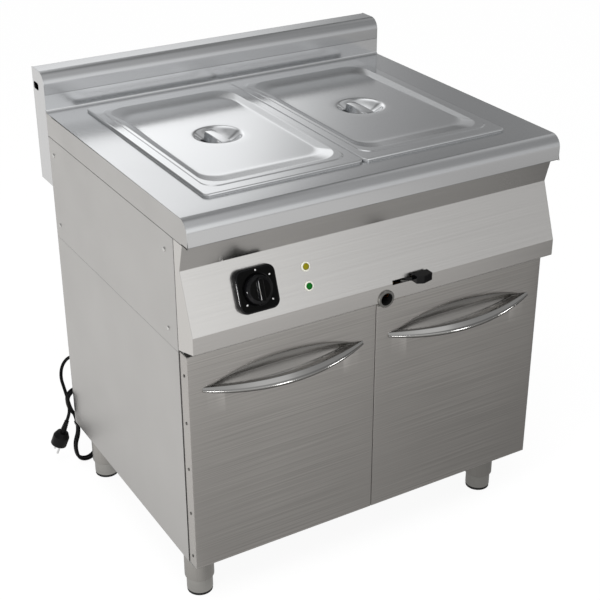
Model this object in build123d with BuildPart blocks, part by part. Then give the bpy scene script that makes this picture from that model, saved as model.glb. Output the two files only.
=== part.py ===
"""Free-standing bain marie with a worktop well for two pans, a door cabinet below and a drain tap.

Frame: X to the right seen from the front, Y towards the back, Z up from the floor, in millimetres.
"""

from build123d import *
import math
import os

os.makedirs("parts", exist_ok=True)

# Overall sizes
width = 800.0
worktop_height = 862.0
worktop_front = -334.5
worktop_depth = 638.0
leg_height = 125.0
module_height = 222.0
sheet = 1.5
flange_width = 20.0
rear_flange_width = 10.0

# Worktop and splashback
top_sheet = 2.0
skirt_height = 50.0
nose_radius = 24.0
nose_return = 22.0
upstand_rise = 35.0
splashback_depth = 62.0
splashback_rise = 80.0
splashback_drop = 160.0
splashback_step = 4.0
cap_hole_width = 26.0
cap_hole_height = 15.0
cap_hole_corner = 5.0
cap_hole_from_rear = 18.0
cap_hole_from_top = 36.0

# Control panel: neck under the worktop, sloping face, upright apron and folded lip
neck_top_setback = 20.0
neck_setback = 35.0
neck_drop = 54.0
panel_drop = 112.0
apron_reach = 5.5
apron_height = 33.4
lip_depth = 20.0
lip_fall = 7.0
cheek_gap = 2.0

# Base, legs and feet
base_fold = 20.0
leg_side_inset = 48.5
leg_front_inset = 115.0
leg_rear_inset = 46.5
leg_flange_size = 80.0
leg_flange_thickness = 4.0
foot_radius = 26.5
foot_clearance = 0.3
foot_wall = 3.5
foot_floor = 14.0
sleeve_wall = 3.2
sleeve_bottom = 36.0
sleeve_bore_depth = 84.0
pad_height = 6.0
pad_inset = 0.5

# Doors
door_setback = 25.0
door_thickness = 28.0
door_gap = 3.0
door_side_inset = 1.2
door_meeting_gap = 3.0
door_foot_gap = 2.0
door_head_lap = 3.5
door_sheet = 1.2
door_edge_radius = 1.5
liner_fold = 20.0
hinge_inset = 6.0
hinge_pin_radius = 3.0
hinge_pin_grip = 25.0
hinge_collar_radius = 5.0
running_fit = 0.05
bracket_thickness = 3.0
bracket_width = 21.0
bracket_nose = 8.0
bracket_edge = 5.0
bracket_rise = 30.0
bracket_foot = 24.0
rivet_count = 5
rivet_first = 23.0
rivet_last = 43.5
rivet_head_radius = 3.0
rivet_head_height = 0.8
rivet_shank_radius = 1.6
rivet_tail_height = 1.0

# Door handles: a pressed scoop in the skin and a bow bar across it
handle_drop = 74.5
scoop_half_length = 162.0
scoop_rise = 33.0
scoop_fall = 20.0
scoop_depth = 19.0
scoop_floor_half_length = 118.0
scoop_floor_rise = 10.0
scoop_floor_fall = 14.0
bar_half_length = 171.0
bar_reach = 30.0
bar_drop = 10.0
bar_stations = 9
bar_half_height = 8.5
bar_half_depth = 6.0
bar_tip_share = 0.34

# Pans, lids, well and divider
pan_width = 325.0
pan_length = 530.0
pan_gap = 1.5
pan_setback = 342.0
pan_depth = 150.0
pan_rim_width = 15.0
pan_rim_height = 4.0
pan_rim_corner = 10.0
pan_corner = 40.0
pan_taper = 4.0
pan_sheet = 1.0
rim_bearing = 11.0
lid_edge_inset = 3.0
lid_hem = 2.0
lid_sheet = 1.0
lid_corner = 12.0
lid_border_height = 7.5
lid_border_width = 20.0
lid_border_slope = 8.0
lid_panel_corner = 42.0
lid_panel_drop = 5.5
lid_panel_slope = 60.0
bowl_radius = 46.0
bowl_depth = 20.0
strap_width = 20.0
strap_length = 100.0
strap_thickness = 2.0
strap_rise = 3.0
tank_depth = 200.0
tank_sheet = 2.0
tank_corner = 15.0
tank_flange = 12.0
divider_width = 24.0
divider_height = 12.0
divider_wall = 2.0

# Heating element and thermostat bulb in the tank
element_radius = 4.25
element_height = 20.0
element_bend = 30.0
element_terminal_x = 30.0
element_run_pitch = 120.0
element_front_gap = 42.0
element_rear_gap = 20.0
element_short_gap = 56.0
element_stub = 18.0
bush_radius = 9.0
bush_length = 6.0
element_hole_clearance = 0.3
bulb_radius = 3.5
bulb_length = 80.0
bulb_x = -210.0
bulb_height = 7.0
capillary_radius = 1.2
capillary_bend = 8.0
capillary_nut_radius = 6.0

# Controls on the sloping face, with places measured down the slope from the neck
knob_side_inset = 133.9
knob_down_slope = 61.9
bezel_size = 81.0
bezel_corner = 16.0
bezel_height = 12.0
bezel_edge = 3.0
bezel_hole_radius = 8.0
knob_radius = 27.0
knob_skirt_height = 8.0
knob_lift = 0.5
grip_length = 46.0
grip_width = 13.0
grip_top = 30.0
spindle_radius = 3.0
spindle_hole_radius = 5.0
spindle_tip = 22.0
thermostat_size = 46.0
thermostat_depth = 30.0
lamp_spacing = 106.1
amber_down_slope = 46.0
green_down_slope = 82.0
lens_radius = 6.0
lens_clearance = 0.1
lens_height = 2.5
lens_dome = 3.0
lens_tail = 16.0
lens_collar = 1.2
lamp_ring_radius = 9.2
lamp_ring_height = 3.0

# Drain: pipe from the tank, ball valve along X, elbow to the spout, lever through a slot
drain_rise = 6.1
drain_setback = 12.0
valve_x = 35.0
valve_length = 38.0
valve_radius = 13.0
valve_belly_radius = 14.8
valve_belly_length = 28.0
valve_neck_radius = 7.0
valve_neck_top = 21.0
ball_radius = 12.0
ball_clearance = 0.3
ball_bore = 8.0
stem_radius = 4.0
pipe_radius = 10.0
pipe_bore = 8.5
pipe_bend = 22.0
pipe_clearance = 1.5
drain_hole_x = 100.0
drain_hole_setback = 112.0
drain_flange_radius = 18.0
drain_flange_thickness = 3.0
spout_radius = 17.4
spout_reach = 3.5
spout_neck_radius = 14.5
spout_bore = 12.0
spout_chamfer = 1.0
notch_clearance = 1.5
slot_left = 14.5
slot_right = 95.0
slot_drop = 3.2
slot_height = 8.4
lever_thickness = 6.2
lever_slot_gap = 1.0
lever_hub_radius = 8.0
lever_arm_width = 6.0
lever_arm_dx = 27.0
lever_arm_dy = -24.0
grip_left = 20.0
grip_span = 35.0
grip_peak = 13.0
grip_rear = 7.5
grip_front = 25.0
grip_crown = 6.0
grip_height = 15.0

# Door catches, terminal block, cable duct, side screws
catch_width = 40.0
catch_depth = 22.0
catch_height = 14.0
catch_from_middle = 20.0
rail_height = 50.0
tray_side_rise = 40.0
terminal_length = 60.0
terminal_depth = 30.0
terminal_height = 34.0
terminal_from_rear = 70.0
terminal_cell = 11.0
duct_width = 50.0
duct_depth = 45.0
duct_hole_radius = 10.0
screw_front_inset = 93.0
screw_rear_inset = 23.0
screw_low = 32.0
screw_high = 187.0
screw_head_radius = 4.2
screw_head_height = 1.8
screw_shank_radius = 2.0
screw_hole_clearance = 0.2
screw_nut_radius = 3.6
screw_nut_height = 3.2

# Supply cord
cord_radius = 3.75
gland_side_inset = 26.0
gland_z = 264.0
gland_hex_radius = 12.0
gland_hex_height = 8.0
gland_dome_radius = 9.5
gland_reach = 28.0
gland_thread_radius = 8.0
gland_nut_radius = 12.5
gland_nut_height = 5.0
gland_hole_clearance = 0.1
hank_offset = (0.0, -4.6, -234.0)
hank_lean = 5.5
hank_loops = 2
hank_bottom_radius = 24.0
hank_top_radius = 22.5
hank_waist_half = 8.0
hank_waist_at = 78.0
hank_top_at = 150.0
hank_layer = 8.2
tie_wall = 1.2
tie_height = 6.0
tie_clearance = 0.3
plug_relief_length = 30.0
plug_relief_radius = 7.0
plug_relief_tip_radius = 4.8
plug_body_radius = 18.5
plug_shoulder_radius = 13.0
plug_shoulder_length = 12.0
plug_body_length = 24.0
plug_pin_length = 19.0
plug_pin_radius = 2.4
plug_pin_half_pitch = 9.5

# Planes and lines that several pieces share
half = width / 2
back = worktop_front + worktop_depth
rear = back + splashback_depth
skirt_bottom = worktop_height - skirt_height
cabinet_top = skirt_bottom - module_height
door_front = worktop_front + door_setback
door_back = door_front + door_thickness
panel_front = door_back + door_gap
door_bottom = leg_height + door_foot_gap
door_top = cabinet_top + door_head_lap
inner_half = half - sheet
base_top = leg_height + base_fold
pan_y = worktop_front + pan_setback
pan_x = (pan_width + pan_gap) / 2
opening_width = 2 * pan_width + pan_gap - 2 * rim_bearing
opening_length = pan_length - 2 * rim_bearing
tank_top = worktop_height - top_sheet
tank_bottom = worktop_height - tank_depth
tank_floor = tank_bottom + tank_sheet
tank_front_wall = pan_y - opening_length / 2 - tank_sheet
rim_top = worktop_height + pan_rim_height
neck_y = worktop_front + neck_setback
neck_z = skirt_bottom - neck_drop
apron_y = worktop_front - apron_reach
apron_top = neck_z - panel_drop
apron_bottom = apron_top - apron_height
slope_length = math.hypot(neck_y - apron_y, panel_drop)
slope_run = (neck_y - apron_y) / slope_length
slope_fall = panel_drop / slope_length
drain_y = worktop_front + drain_setback
drain_z = apron_bottom + drain_rise
slot_bottom = apron_top - slot_drop
knob_x = knob_side_inset - half
lamp_x = knob_x + lamp_spacing
handle_height = door_top - handle_drop
hinge_x = half - door_side_inset - hinge_inset
hinge_y = door_back - hinge_inset
sides = (("left", -1), ("right", 1))


def finish(builder, name):
    """Label a finished piece and write its STEP file."""
    builder.part.label = name
    export_step(builder.part, f"parts/{name}.step")


def block(x_span, y_span, z_span, mode=Mode.ADD):
    """Add or cut a block between the low and high value of each axis."""
    lows = [min(span) for span in (x_span, y_span, z_span)]
    highs = [max(span) for span in (x_span, y_span, z_span)]
    with Locations(tuple((low + high) / 2 for low, high in zip(lows, highs))):
        Box(*(high - low for low, high in zip(lows, highs)), mode=mode)


def rod(start, end, radius, mode=Mode.ADD):
    """Add or cut a round bar from one point to another."""
    axis = Vector(*end) - Vector(*start)
    with Locations(Plane(origin=start, z_dir=axis)):
        Cylinder(radius, axis.length, align=(Align.CENTER, Align.CENTER, Align.MIN), mode=mode)


def slope_plane(x, down_slope, lift=0.0):
    """Plane on the control panel's sloping face: X along the panel, Y up the slope, Z out of the face."""
    y = neck_y - slope_run * down_slope
    z = neck_z - slope_fall * down_slope
    normal = Vector(0, -slope_fall, slope_run)
    return Plane(origin=Vector(x, y, z) + normal * lift, x_dir=(1, 0, 0), z_dir=normal)


def slope_point(x, down_slope, lift):
    """Point over the control panel's sloping face, at a height above it."""
    return tuple(slope_plane(x, down_slope, lift).origin)


def folded_strip(points, thickness):
    """Outline of a folded sheet: the given points and the same line moved inwards by its thickness."""
    lines = []
    for (y0, z0), (y1, z1) in zip(points, points[1:]):
        length = math.hypot(y1 - y0, z1 - z0)
        normal = ((z0 - z1) / length, (y1 - y0) / length)
        lines.append(((y0 + normal[0] * thickness, z0 + normal[1] * thickness), (y1 - y0, z1 - z0), normal))
    inner = [lines[0][0]]
    for (p, u, _), (q, v, _) in zip(lines, lines[1:]):
        share = ((q[0] - p[0]) * v[1] - (q[1] - p[1]) * v[0]) / (u[0] * v[1] - u[1] * v[0])
        inner.append((p[0] + share * u[0], p[1] + share * u[1]))
    last = lines[-1]
    inner.append((points[-1][0] + last[2][0] * thickness, points[-1][1] + last[2][1] * thickness))
    return [*points, *reversed(inner)]


# Side panels of the cabinet and of the upper module, each with a front and a rear flange
screw_places = [
    (y, cabinet_top + rise)
    for y in (worktop_front + screw_front_inset, back - screw_rear_inset)
    for rise in (screw_low, screw_high)
]


def side_panel(name, side, bottom, top, holes):
    """Folded side panel between two heights, with screw holes where the screws pass."""
    with BuildPart() as panel:
        block((side * inner_half, side * half), (panel_front, back), (bottom, top))
        front_flange = (side * (inner_half - flange_width), side * inner_half)
        block(front_flange, (panel_front, panel_front + sheet), (bottom, top))
        rear_flange = (side * (inner_half - rear_flange_width), side * inner_half)
        block(rear_flange, (back - 2 * sheet, back - sheet), (bottom, top))
        for y, z in holes:
            hole = screw_shank_radius + screw_hole_clearance
            rod((side * (inner_half - sheet), y, z), (side * (half + sheet), y, z), hole, Mode.SUBTRACT)
    finish(panel, name)


for word, side in sides:
    side_panel(f"{word}_side_panel", side, leg_height, cabinet_top, [])
    side_panel(f"upper_{word}_side", side, cabinet_top, skirt_bottom, screw_places)

with BuildPart() as side_screws:
    for word, side in sides:
        for y, z in screw_places:
            rod((side * half, y, z), (side * (half + screw_head_height), y, z), screw_head_radius)
            rod((side * (inner_half - sheet), y, z), (side * half, y, z), screw_shank_radius)
            nut_end = inner_half - sheet - screw_nut_height
            rod((side * nut_end, y, z), (side * (inner_half - sheet), y, z), screw_nut_radius)
    fillet(side_screws.edges().filter_by(GeomType.CIRCLE).group_by(Axis.X)[0], screw_head_height / 2)
    fillet(side_screws.edges().filter_by(GeomType.CIRCLE).group_by(Axis.X)[-1], screw_head_height / 2)
finish(side_screws, "side_screws")

# Rear panel behind the whole cabinet, with the gland hole
gland_x = gland_side_inset - half
with BuildPart() as rear_panel:
    block((-inner_half, inner_half), (back - sheet, back), (leg_height, skirt_bottom))
    rod(
        (gland_x, back - 2 * sheet, gland_z),
        (gland_x, back + sheet, gland_z),
        gland_thread_radius + gland_hole_clearance,
        Mode.SUBTRACT,
    )
finish(rear_panel, "rear_panel")

# Base floor, an upturned tray with folded returns at the front and the back
base_front = panel_front + sheet
base_rear = back - 2 * sheet
full_width = (-inner_half, inner_half)
with BuildPart() as base_floor:
    block(full_width, (base_front, base_rear), (leg_height, base_top))
    block(
        (-inner_half + sheet, inner_half - sheet),
        (base_front + sheet, base_rear - sheet),
        (leg_height - sheet, base_top - sheet),
        Mode.SUBTRACT,
    )
    block(full_width, (base_front, base_front + flange_width), (leg_height, leg_height + sheet))
finish(base_floor, "base_floor")

# Leg sleeves bolted under the base, and the screw-in feet
leg_x = half - leg_side_inset
leg_places = {
    "front_left": (-leg_x, worktop_front + leg_front_inset),
    "front_right": (leg_x, worktop_front + leg_front_inset),
    "rear_left": (-leg_x, back - leg_rear_inset),
    "rear_right": (leg_x, back - leg_rear_inset),
}
sleeve_bore = foot_radius + foot_clearance
sleeve_top = base_top - sheet
foot_top = sleeve_bottom + sleeve_bore_depth
with BuildPart() as leg_sleeves:
    for x, y in leg_places.values():
        rod((x, y, sleeve_bottom), (x, y, sleeve_top), sleeve_bore + sleeve_wall)
        plate = leg_flange_size / 2
        block((x - plate, x + plate), (y - plate, y + plate), (sleeve_top - leg_flange_thickness, sleeve_top))
    for x, y in leg_places.values():
        rod((x, y, sleeve_bottom), (x, y, foot_top), sleeve_bore, Mode.SUBTRACT)
    outer_rims = leg_sleeves.edges().filter_by(GeomType.CIRCLE).group_by(Axis.Z)[0]
    outer_rims = outer_rims.filter_by(lambda rim: rim.radius > sleeve_bore + sleeve_wall / 2)
    chamfer(outer_rims, sleeve_wall * 0.6)
finish(leg_sleeves, "leg_sleeves")

for word, (x, y) in leg_places.items():
    with BuildPart() as foot:
        rod((x, y, 0), (x, y, pad_height), foot_radius - pad_inset)
        rod((x, y, pad_height), (x, y, foot_top), foot_radius)
        rod((x, y, foot_floor), (x, y, foot_top), foot_radius - foot_wall, Mode.SUBTRACT)
    finish(foot, f"{word}_foot")

# Module base: the shelf over the cabinet, with a front rail and folded sides
with BuildPart() as module_base:
    block(full_width, (base_front, base_rear), (cabinet_top, cabinet_top + sheet))
    block(full_width, (base_front, base_front + sheet), (cabinet_top, cabinet_top + rail_height))
    for word, side in sides:
        block(
            (side * (inner_half - sheet), side * inner_half),
            (base_front, base_rear),
            (cabinet_top, cabinet_top + tray_side_rise),
        )
        for y, z in screw_places:
            rod(
                (side * (inner_half - 2 * sheet), y, z),
                (side * half, y, z),
                screw_shank_radius + screw_hole_clearance,
                Mode.SUBTRACT,
            )
    rod(
        (drain_hole_x, base_front - sheet, drain_z),
        (drain_hole_x, base_front + 2 * sheet, drain_z),
        pipe_radius + pipe_clearance,
        Mode.SUBTRACT,
    )
    duct_centre = (gland_x, back - duct_depth / 2)
    rod(
        (*duct_centre, cabinet_top - sheet),
        (*duct_centre, cabinet_top + 2 * sheet),
        duct_hole_radius,
        Mode.SUBTRACT,
    )
finish(module_base, "module_base")

# Worktop: rounded front edge, skirts, upstand and the well opening
with BuildPart() as worktop:
    with BuildSketch(Plane.YZ):
        with BuildLine():
            Line((worktop_front, skirt_bottom), (worktop_front, worktop_height - nose_radius))
            RadiusArc(
                (worktop_front, worktop_height - nose_radius),
                (worktop_front + nose_radius, worktop_height),
                nose_radius,
            )
            Polyline(
                (worktop_front + nose_radius, worktop_height),
                (back, worktop_height),
                (back, skirt_bottom),
                (worktop_front, skirt_bottom),
            )
        make_face()
    extrude(amount=half, both=True)
    with BuildSketch(Plane.YZ):
        inner_front = worktop_front + top_sheet
        inner_top = worktop_height - top_sheet
        inner_nose = nose_radius - top_sheet
        with BuildLine():
            nose_low = (inner_front, inner_top - inner_nose)
            nose_high = (inner_front + inner_nose, inner_top)
            Line((inner_front, skirt_bottom + top_sheet), nose_low)
            RadiusArc(nose_low, nose_high, inner_nose)
            Polyline(
                nose_high,
                (back, inner_top),
                (back, skirt_bottom),
                (worktop_front + nose_return, skirt_bottom),
                (worktop_front + nose_return, skirt_bottom + top_sheet),
                (inner_front, skirt_bottom + top_sheet),
            )
        make_face()
    extrude(amount=half - top_sheet, both=True, mode=Mode.SUBTRACT)
    block(
        (-half + top_sheet, half - top_sheet),
        (back, back + top_sheet),
        (inner_top, worktop_height + upstand_rise),
    )
    with BuildSketch(Plane.XY.offset(worktop_height)):
        with Locations((0, pan_y)):
            RectangleRounded(opening_width, opening_length, tank_corner)
    extrude(amount=-2 * top_sheet, mode=Mode.SUBTRACT)
finish(worktop, "worktop")

# Splashback: a hollow box behind the worktop's upstand, closed by end caps
splash_top = worktop_height + splashback_rise
splash_bottom = worktop_height - splashback_drop
upstand_top = worktop_height + upstand_rise


def splashback_outline():
    """Edges of the splashback's end view: a step for the upstand and a rounded front top edge."""
    with BuildLine() as outline:
        Polyline(
            (back, splash_top - nose_radius),
            (back, upstand_top),
            (back + top_sheet, upstand_top),
            (back + top_sheet, worktop_height - splashback_step),
            (back, worktop_height - splashback_step),
            (back, splash_bottom),
            (rear, splash_bottom),
            (rear, splash_top),
            (back + nose_radius, splash_top),
        )
        RadiusArc((back + nose_radius, splash_top), (back, splash_top - nose_radius), -nose_radius)
    return outline.edges()


splash_edges = splashback_outline()
with BuildPart() as splashback:
    with BuildSketch(Plane.YZ):
        make_face(splash_edges)
    extrude(amount=inner_half, both=True)
    hollow_front = back + top_sheet + sheet
    hollow_radius = nose_radius - top_sheet - sheet
    with BuildSketch(Plane.YZ):
        with BuildLine():
            Polyline(
                (hollow_front, splash_top - sheet - hollow_radius),
                (hollow_front, splash_bottom + sheet),
                (rear - sheet, splash_bottom + sheet),
                (rear - sheet, splash_top - sheet),
                (hollow_front + hollow_radius, splash_top - sheet),
            )
            RadiusArc(
                (hollow_front + hollow_radius, splash_top - sheet),
                (hollow_front, splash_top - sheet - hollow_radius),
                -hollow_radius,
            )
        make_face()
    extrude(amount=half, both=True, mode=Mode.SUBTRACT)
finish(splashback, "splashback")

for word, side in sides:
    with BuildPart() as splashback_cap:
        with BuildSketch(Plane.YZ.offset(side * inner_half)):
            make_face(splash_edges)
            with Locations((rear - cap_hole_from_rear, splash_top - cap_hole_from_top)):
                RectangleRounded(cap_hole_width, cap_hole_height, cap_hole_corner, mode=Mode.SUBTRACT)
        extrude(amount=side * sheet)
    finish(splashback_cap, f"splashback_{word}_cap")

# Control panel: one folded sheet with a cheek at each end
panel_line = [
    (worktop_front + neck_top_setback, skirt_bottom),
    (neck_y, neck_z),
    (apron_y, apron_top),
    (apron_y, apron_bottom),
    (apron_y + lip_depth, apron_bottom - lip_fall),
]
cheek_rear = panel_front - cheek_gap
cheek_bottom = door_top + door_foot_gap
cheek_outline = [*panel_line[:4], (cheek_rear, cheek_bottom), (cheek_rear, skirt_bottom)]
with BuildPart() as control_panel:
    with BuildSketch(Plane.YZ):
        Polygon(*folded_strip(panel_line, sheet), align=None)
    extrude(amount=inner_half, both=True)
    for word, side in sides:
        with BuildSketch(Plane.YZ.offset(side * inner_half)):
            Polygon(*cheek_outline, align=None)
        extrude(amount=side * sheet)
    for x, down_slope, radius in (
        (knob_x, knob_down_slope, spindle_hole_radius),
        (lamp_x, amber_down_slope, lens_radius + lens_clearance),
        (lamp_x, green_down_slope, lens_radius + lens_clearance),
    ):
        start = slope_point(x, down_slope, -2 * sheet)
        end = slope_point(x, down_slope, sheet)
        rod(start, end, radius, Mode.SUBTRACT)
    block(
        (slot_left, slot_right),
        (apron_y - sheet, neck_y),
        (slot_bottom, slot_bottom + slot_height),
        Mode.SUBTRACT,
    )
    block((-half, half), (worktop_front, back), (skirt_bottom, worktop_height), Mode.SUBTRACT)
    block(
        (-spout_neck_radius - notch_clearance, valve_x + valve_length / 2 + notch_clearance),
        (apron_y + sheet, apron_y + lip_depth + 2 * sheet),
        (apron_bottom - lip_fall - sheet, apron_bottom + 2 * sheet),
        Mode.SUBTRACT,
    )
    rod(
        (0, apron_y - sheet, drain_z),
        (0, apron_y + lip_depth + sheet, drain_z),
        spout_neck_radius + running_fit,
        Mode.SUBTRACT,
    )
finish(control_panel, "control_panel")

# Thermostat knob on its bezel, with the spindle and the thermostat behind the panel
with BuildPart() as knob_bezel:
    with BuildSketch(slope_plane(knob_x, knob_down_slope)):
        RectangleRounded(bezel_size, bezel_size, bezel_corner)
        Circle(bezel_hole_radius, mode=Mode.SUBTRACT)
    extrude(amount=bezel_height)
    front_face = knob_bezel.faces().sort_by(Axis(origin=(0, 0, 0), direction=(0, -slope_fall, slope_run)))[-1]
    fillet(front_face.outer_wire().edges(), bezel_edge)
finish(knob_bezel, "knob_bezel")

with BuildPart() as control_knob:
    with BuildSketch(slope_plane(knob_x, knob_down_slope, bezel_height + knob_lift)):
        Circle(knob_radius)
    extrude(amount=knob_skirt_height, taper=12)
    with BuildSketch(slope_plane(knob_x, knob_down_slope, bezel_height + knob_lift)):
        RectangleRounded(grip_width, grip_length, grip_width * 0.45)
    extrude(amount=grip_top - bezel_height - knob_lift, taper=4)
    rod(
        slope_point(knob_x, knob_down_slope, bezel_height),
        slope_point(knob_x, knob_down_slope, spindle_tip),
        spindle_radius,
        Mode.SUBTRACT,
    )
finish(control_knob, "control_knob")

spindle_foot = -sheet - thermostat_depth / 2
with BuildPart() as thermostat_spindle:
    rod(
        slope_point(knob_x, knob_down_slope, spindle_foot),
        slope_point(knob_x, knob_down_slope, spindle_tip),
        spindle_radius,
    )
finish(thermostat_spindle, "thermostat_spindle")

with BuildPart() as thermostat_body:
    with BuildSketch(slope_plane(knob_x, knob_down_slope, -sheet)):
        RectangleRounded(thermostat_size, thermostat_size, bezel_edge)
    extrude(amount=-thermostat_depth)
    rod(
        slope_point(knob_x, knob_down_slope, spindle_foot),
        slope_point(knob_x, knob_down_slope, 0),
        spindle_radius + running_fit,
        Mode.SUBTRACT,
    )
finish(thermostat_body, "thermostat_body")

# Capillary from the thermostat through the tank's front wall to the bulb
bulb_z = tank_floor + bulb_height
capillary_start = slope_point(knob_x, knob_down_slope, -sheet - thermostat_depth)
capillary_knee = slope_point(knob_x, knob_down_slope, -sheet - thermostat_depth - capillary_bend * 2)
capillary_wall = tank_front_wall - 2 * capillary_bend
capillary_points = [
    capillary_start,
    capillary_knee,
    (bulb_x - 2 * capillary_bend, capillary_wall, bulb_z + capillary_bend),
    (bulb_x, capillary_wall, bulb_z),
    (bulb_x, tank_front_wall + tank_sheet + bush_length, bulb_z),
]
with BuildPart() as thermostat_bulb:
    with BuildLine() as capillary_path:
        FilletPolyline(*capillary_points, radius=capillary_bend * 0.8)
    with BuildSketch(Plane(origin=capillary_path.line @ 0, z_dir=capillary_path.line % 0)):
        Circle(capillary_radius)
    sweep(path=capillary_path.wires()[0])
    bulb_start = tank_front_wall + tank_sheet + bush_length
    for near_end, far_end, radius in (
        (tank_front_wall - bush_length, tank_front_wall, capillary_nut_radius),
        (tank_front_wall + tank_sheet, bulb_start, capillary_nut_radius),
        (bulb_start, bulb_start + bulb_length, bulb_radius),
    ):
        rod((bulb_x, near_end, bulb_z), (bulb_x, far_end, bulb_z), radius)
finish(thermostat_bulb, "thermostat_bulb")

# Signal lamps
with BuildPart() as lamp_bezels:
    for down_slope in (amber_down_slope, green_down_slope):
        with BuildSketch(slope_plane(lamp_x, down_slope)):
            Circle(lamp_ring_radius)
            Circle(lens_radius + lens_clearance, mode=Mode.SUBTRACT)
        extrude(amount=lamp_ring_height, taper=12)
finish(lamp_bezels, "lamp_bezels")

for word, down_slope in (("amber", amber_down_slope), ("green", green_down_slope)):
    with BuildPart() as lens:
        rod(
            slope_point(lamp_x, down_slope, -lens_tail),
            slope_point(lamp_x, down_slope, lens_height),
            lens_radius,
        )
        rod(
            slope_point(lamp_x, down_slope, -sheet - lens_collar),
            slope_point(lamp_x, down_slope, -sheet),
            lens_radius + lens_collar,
        )
        with BuildSketch(slope_plane(lamp_x, down_slope, lens_height)):
            Circle(lens_radius)
        extrude(amount=lens_dome, taper=40)
    finish(lens, f"{word}_lamp_lens")

# Water tank hung under the worktop opening
tank_outer_width = opening_width + 2 * tank_sheet
tank_outer_length = opening_length + 2 * tank_sheet
element_z = tank_floor + element_height
drain_hole_y = worktop_front + drain_hole_setback
element_hole = element_radius + element_hole_clearance
with BuildPart() as water_tank:
    with BuildSketch(Plane.XY.offset(tank_bottom)):
        with Locations((0, pan_y)):
            RectangleRounded(tank_outer_width, tank_outer_length, tank_corner + tank_sheet)
    extrude(amount=tank_top - tank_bottom)
    with BuildSketch(Plane.XY.offset(tank_top - tank_sheet)):
        with Locations((0, pan_y)):
            RectangleRounded(
                tank_outer_width + 2 * tank_flange,
                tank_outer_length + 2 * tank_flange,
                tank_corner + tank_sheet + tank_flange,
            )
    extrude(amount=tank_sheet)
    with BuildSketch(Plane.XY.offset(tank_floor)):
        with Locations((0, pan_y)):
            RectangleRounded(opening_width, opening_length, tank_corner)
    extrude(amount=tank_top - tank_floor, mode=Mode.SUBTRACT)
    rod(
        (drain_hole_x, drain_hole_y, tank_bottom - tank_sheet),
        (drain_hole_x, drain_hole_y, tank_floor + tank_sheet),
        pipe_bore,
        Mode.SUBTRACT,
    )
    for x, z, radius in (
        (-element_terminal_x, element_z, element_hole),
        (element_terminal_x, element_z, element_hole),
        (bulb_x, bulb_z, capillary_radius + element_hole_clearance),
    ):
        rod(
            (x, tank_front_wall - tank_sheet, z),
            (x, tank_front_wall + 2 * tank_sheet, z),
            radius,
            Mode.SUBTRACT,
        )
finish(water_tank, "water_tank")

# Divider bar, an upturned channel between the tank's front and rear walls
with BuildPart() as divider_bar:
    divider_span = (pan_y - opening_length / 2, pan_y + opening_length / 2)
    block(
        (-divider_width / 2, divider_width / 2),
        divider_span,
        (worktop_height - divider_height, worktop_height),
    )
    block(
        (divider_wall - divider_width / 2, divider_width / 2 - divider_wall),
        divider_span,
        (worktop_height - divider_height, worktop_height - divider_wall),
        Mode.SUBTRACT,
    )
finish(divider_bar, "divider_bar")

# Heating element: one tube run to and fro over the tank floor, held by bushes in the front wall
element_front = tank_front_wall - element_stub
run_front = tank_front_wall + element_front_gap
run_rear = pan_y + opening_length / 2 - element_rear_gap
run_short = run_rear - element_short_gap / 2
near = element_terminal_x
middle = near + element_run_pitch
far = middle + element_run_pitch
half_run = [
    (near, element_front),
    (near, run_short - element_short_gap / 2),
    (middle, run_short - element_short_gap / 2),
    (middle, run_front),
    (far, run_front),
    (far, run_rear),
]
element_points = [(-x, y, element_z) for x, y in half_run]
element_points += [(x, y, element_z) for x, y in reversed(half_run)]
with BuildPart() as heating_element:
    with BuildLine() as element_path:
        FilletPolyline(*element_points, radius=element_bend)
    with BuildSketch(Plane(origin=element_path.line @ 0, z_dir=element_path.line % 0)):
        Circle(element_radius)
    sweep(path=element_path.wires()[0])
    for x in (-near, near):
        rod((x, tank_front_wall - bush_length, element_z), (x, tank_front_wall, element_z), bush_radius)
        inside = tank_front_wall + tank_sheet
        rod((x, inside, element_z), (x, inside + bush_length, element_z), bush_radius)
finish(heating_element, "heating_element")

# Pans with a turned-down rim, and their pressed lids
mouth_width = pan_width - 2 * pan_rim_width
mouth_length = pan_length - 2 * pan_rim_width


def pan(name, x):
    """Deep-drawn pan: tapered body, flat rim and a lip that stands on the worktop."""
    with BuildPart() as body:
        with BuildSketch(Plane.XY.offset(rim_top)):
            with Locations((x, pan_y)):
                RectangleRounded(mouth_width, mouth_length, pan_corner)
        extrude(amount=-pan_depth, taper=pan_taper)
        with BuildSketch(Plane.XY.offset(worktop_height)):
            with Locations((x, pan_y)):
                RectangleRounded(pan_width, pan_length, pan_rim_corner)
                RectangleRounded(
                    pan_width - 2 * pan_sheet,
                    pan_length - 2 * pan_sheet,
                    pan_rim_corner - pan_sheet,
                    mode=Mode.SUBTRACT,
                )
        extrude(amount=pan_rim_height)
        with BuildSketch(Plane.XY.offset(rim_top - pan_sheet)):
            with Locations((x, pan_y)):
                RectangleRounded(pan_width, pan_length, pan_rim_corner)
        extrude(amount=pan_sheet)
        with BuildSketch(Plane.XY.offset(rim_top)):
            with Locations((x, pan_y)):
                RectangleRounded(
                    mouth_width - 2 * pan_sheet,
                    mouth_length - 2 * pan_sheet,
                    pan_corner - pan_sheet,
                )
        extrude(amount=pan_sheet - pan_depth, taper=pan_taper, mode=Mode.SUBTRACT)
    finish(body, name)


lid_width = pan_width - 2 * lid_edge_inset
lid_length = pan_length - 2 * lid_edge_inset
lid_base = rim_top
border_top = lid_base + lid_border_height
lid_panel = border_top - lid_panel_drop
foot_width = lid_width - 2 * lid_hem
foot_length = lid_length - 2 * lid_hem
border_inset = lid_border_height * math.tan(math.radians(lid_border_slope)) + lid_border_width
pocket_width = foot_width - 2 * border_inset
pocket_length = foot_length - 2 * border_inset
pocket_wall = lid_sheet / math.cos(math.radians(lid_panel_slope))


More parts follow.
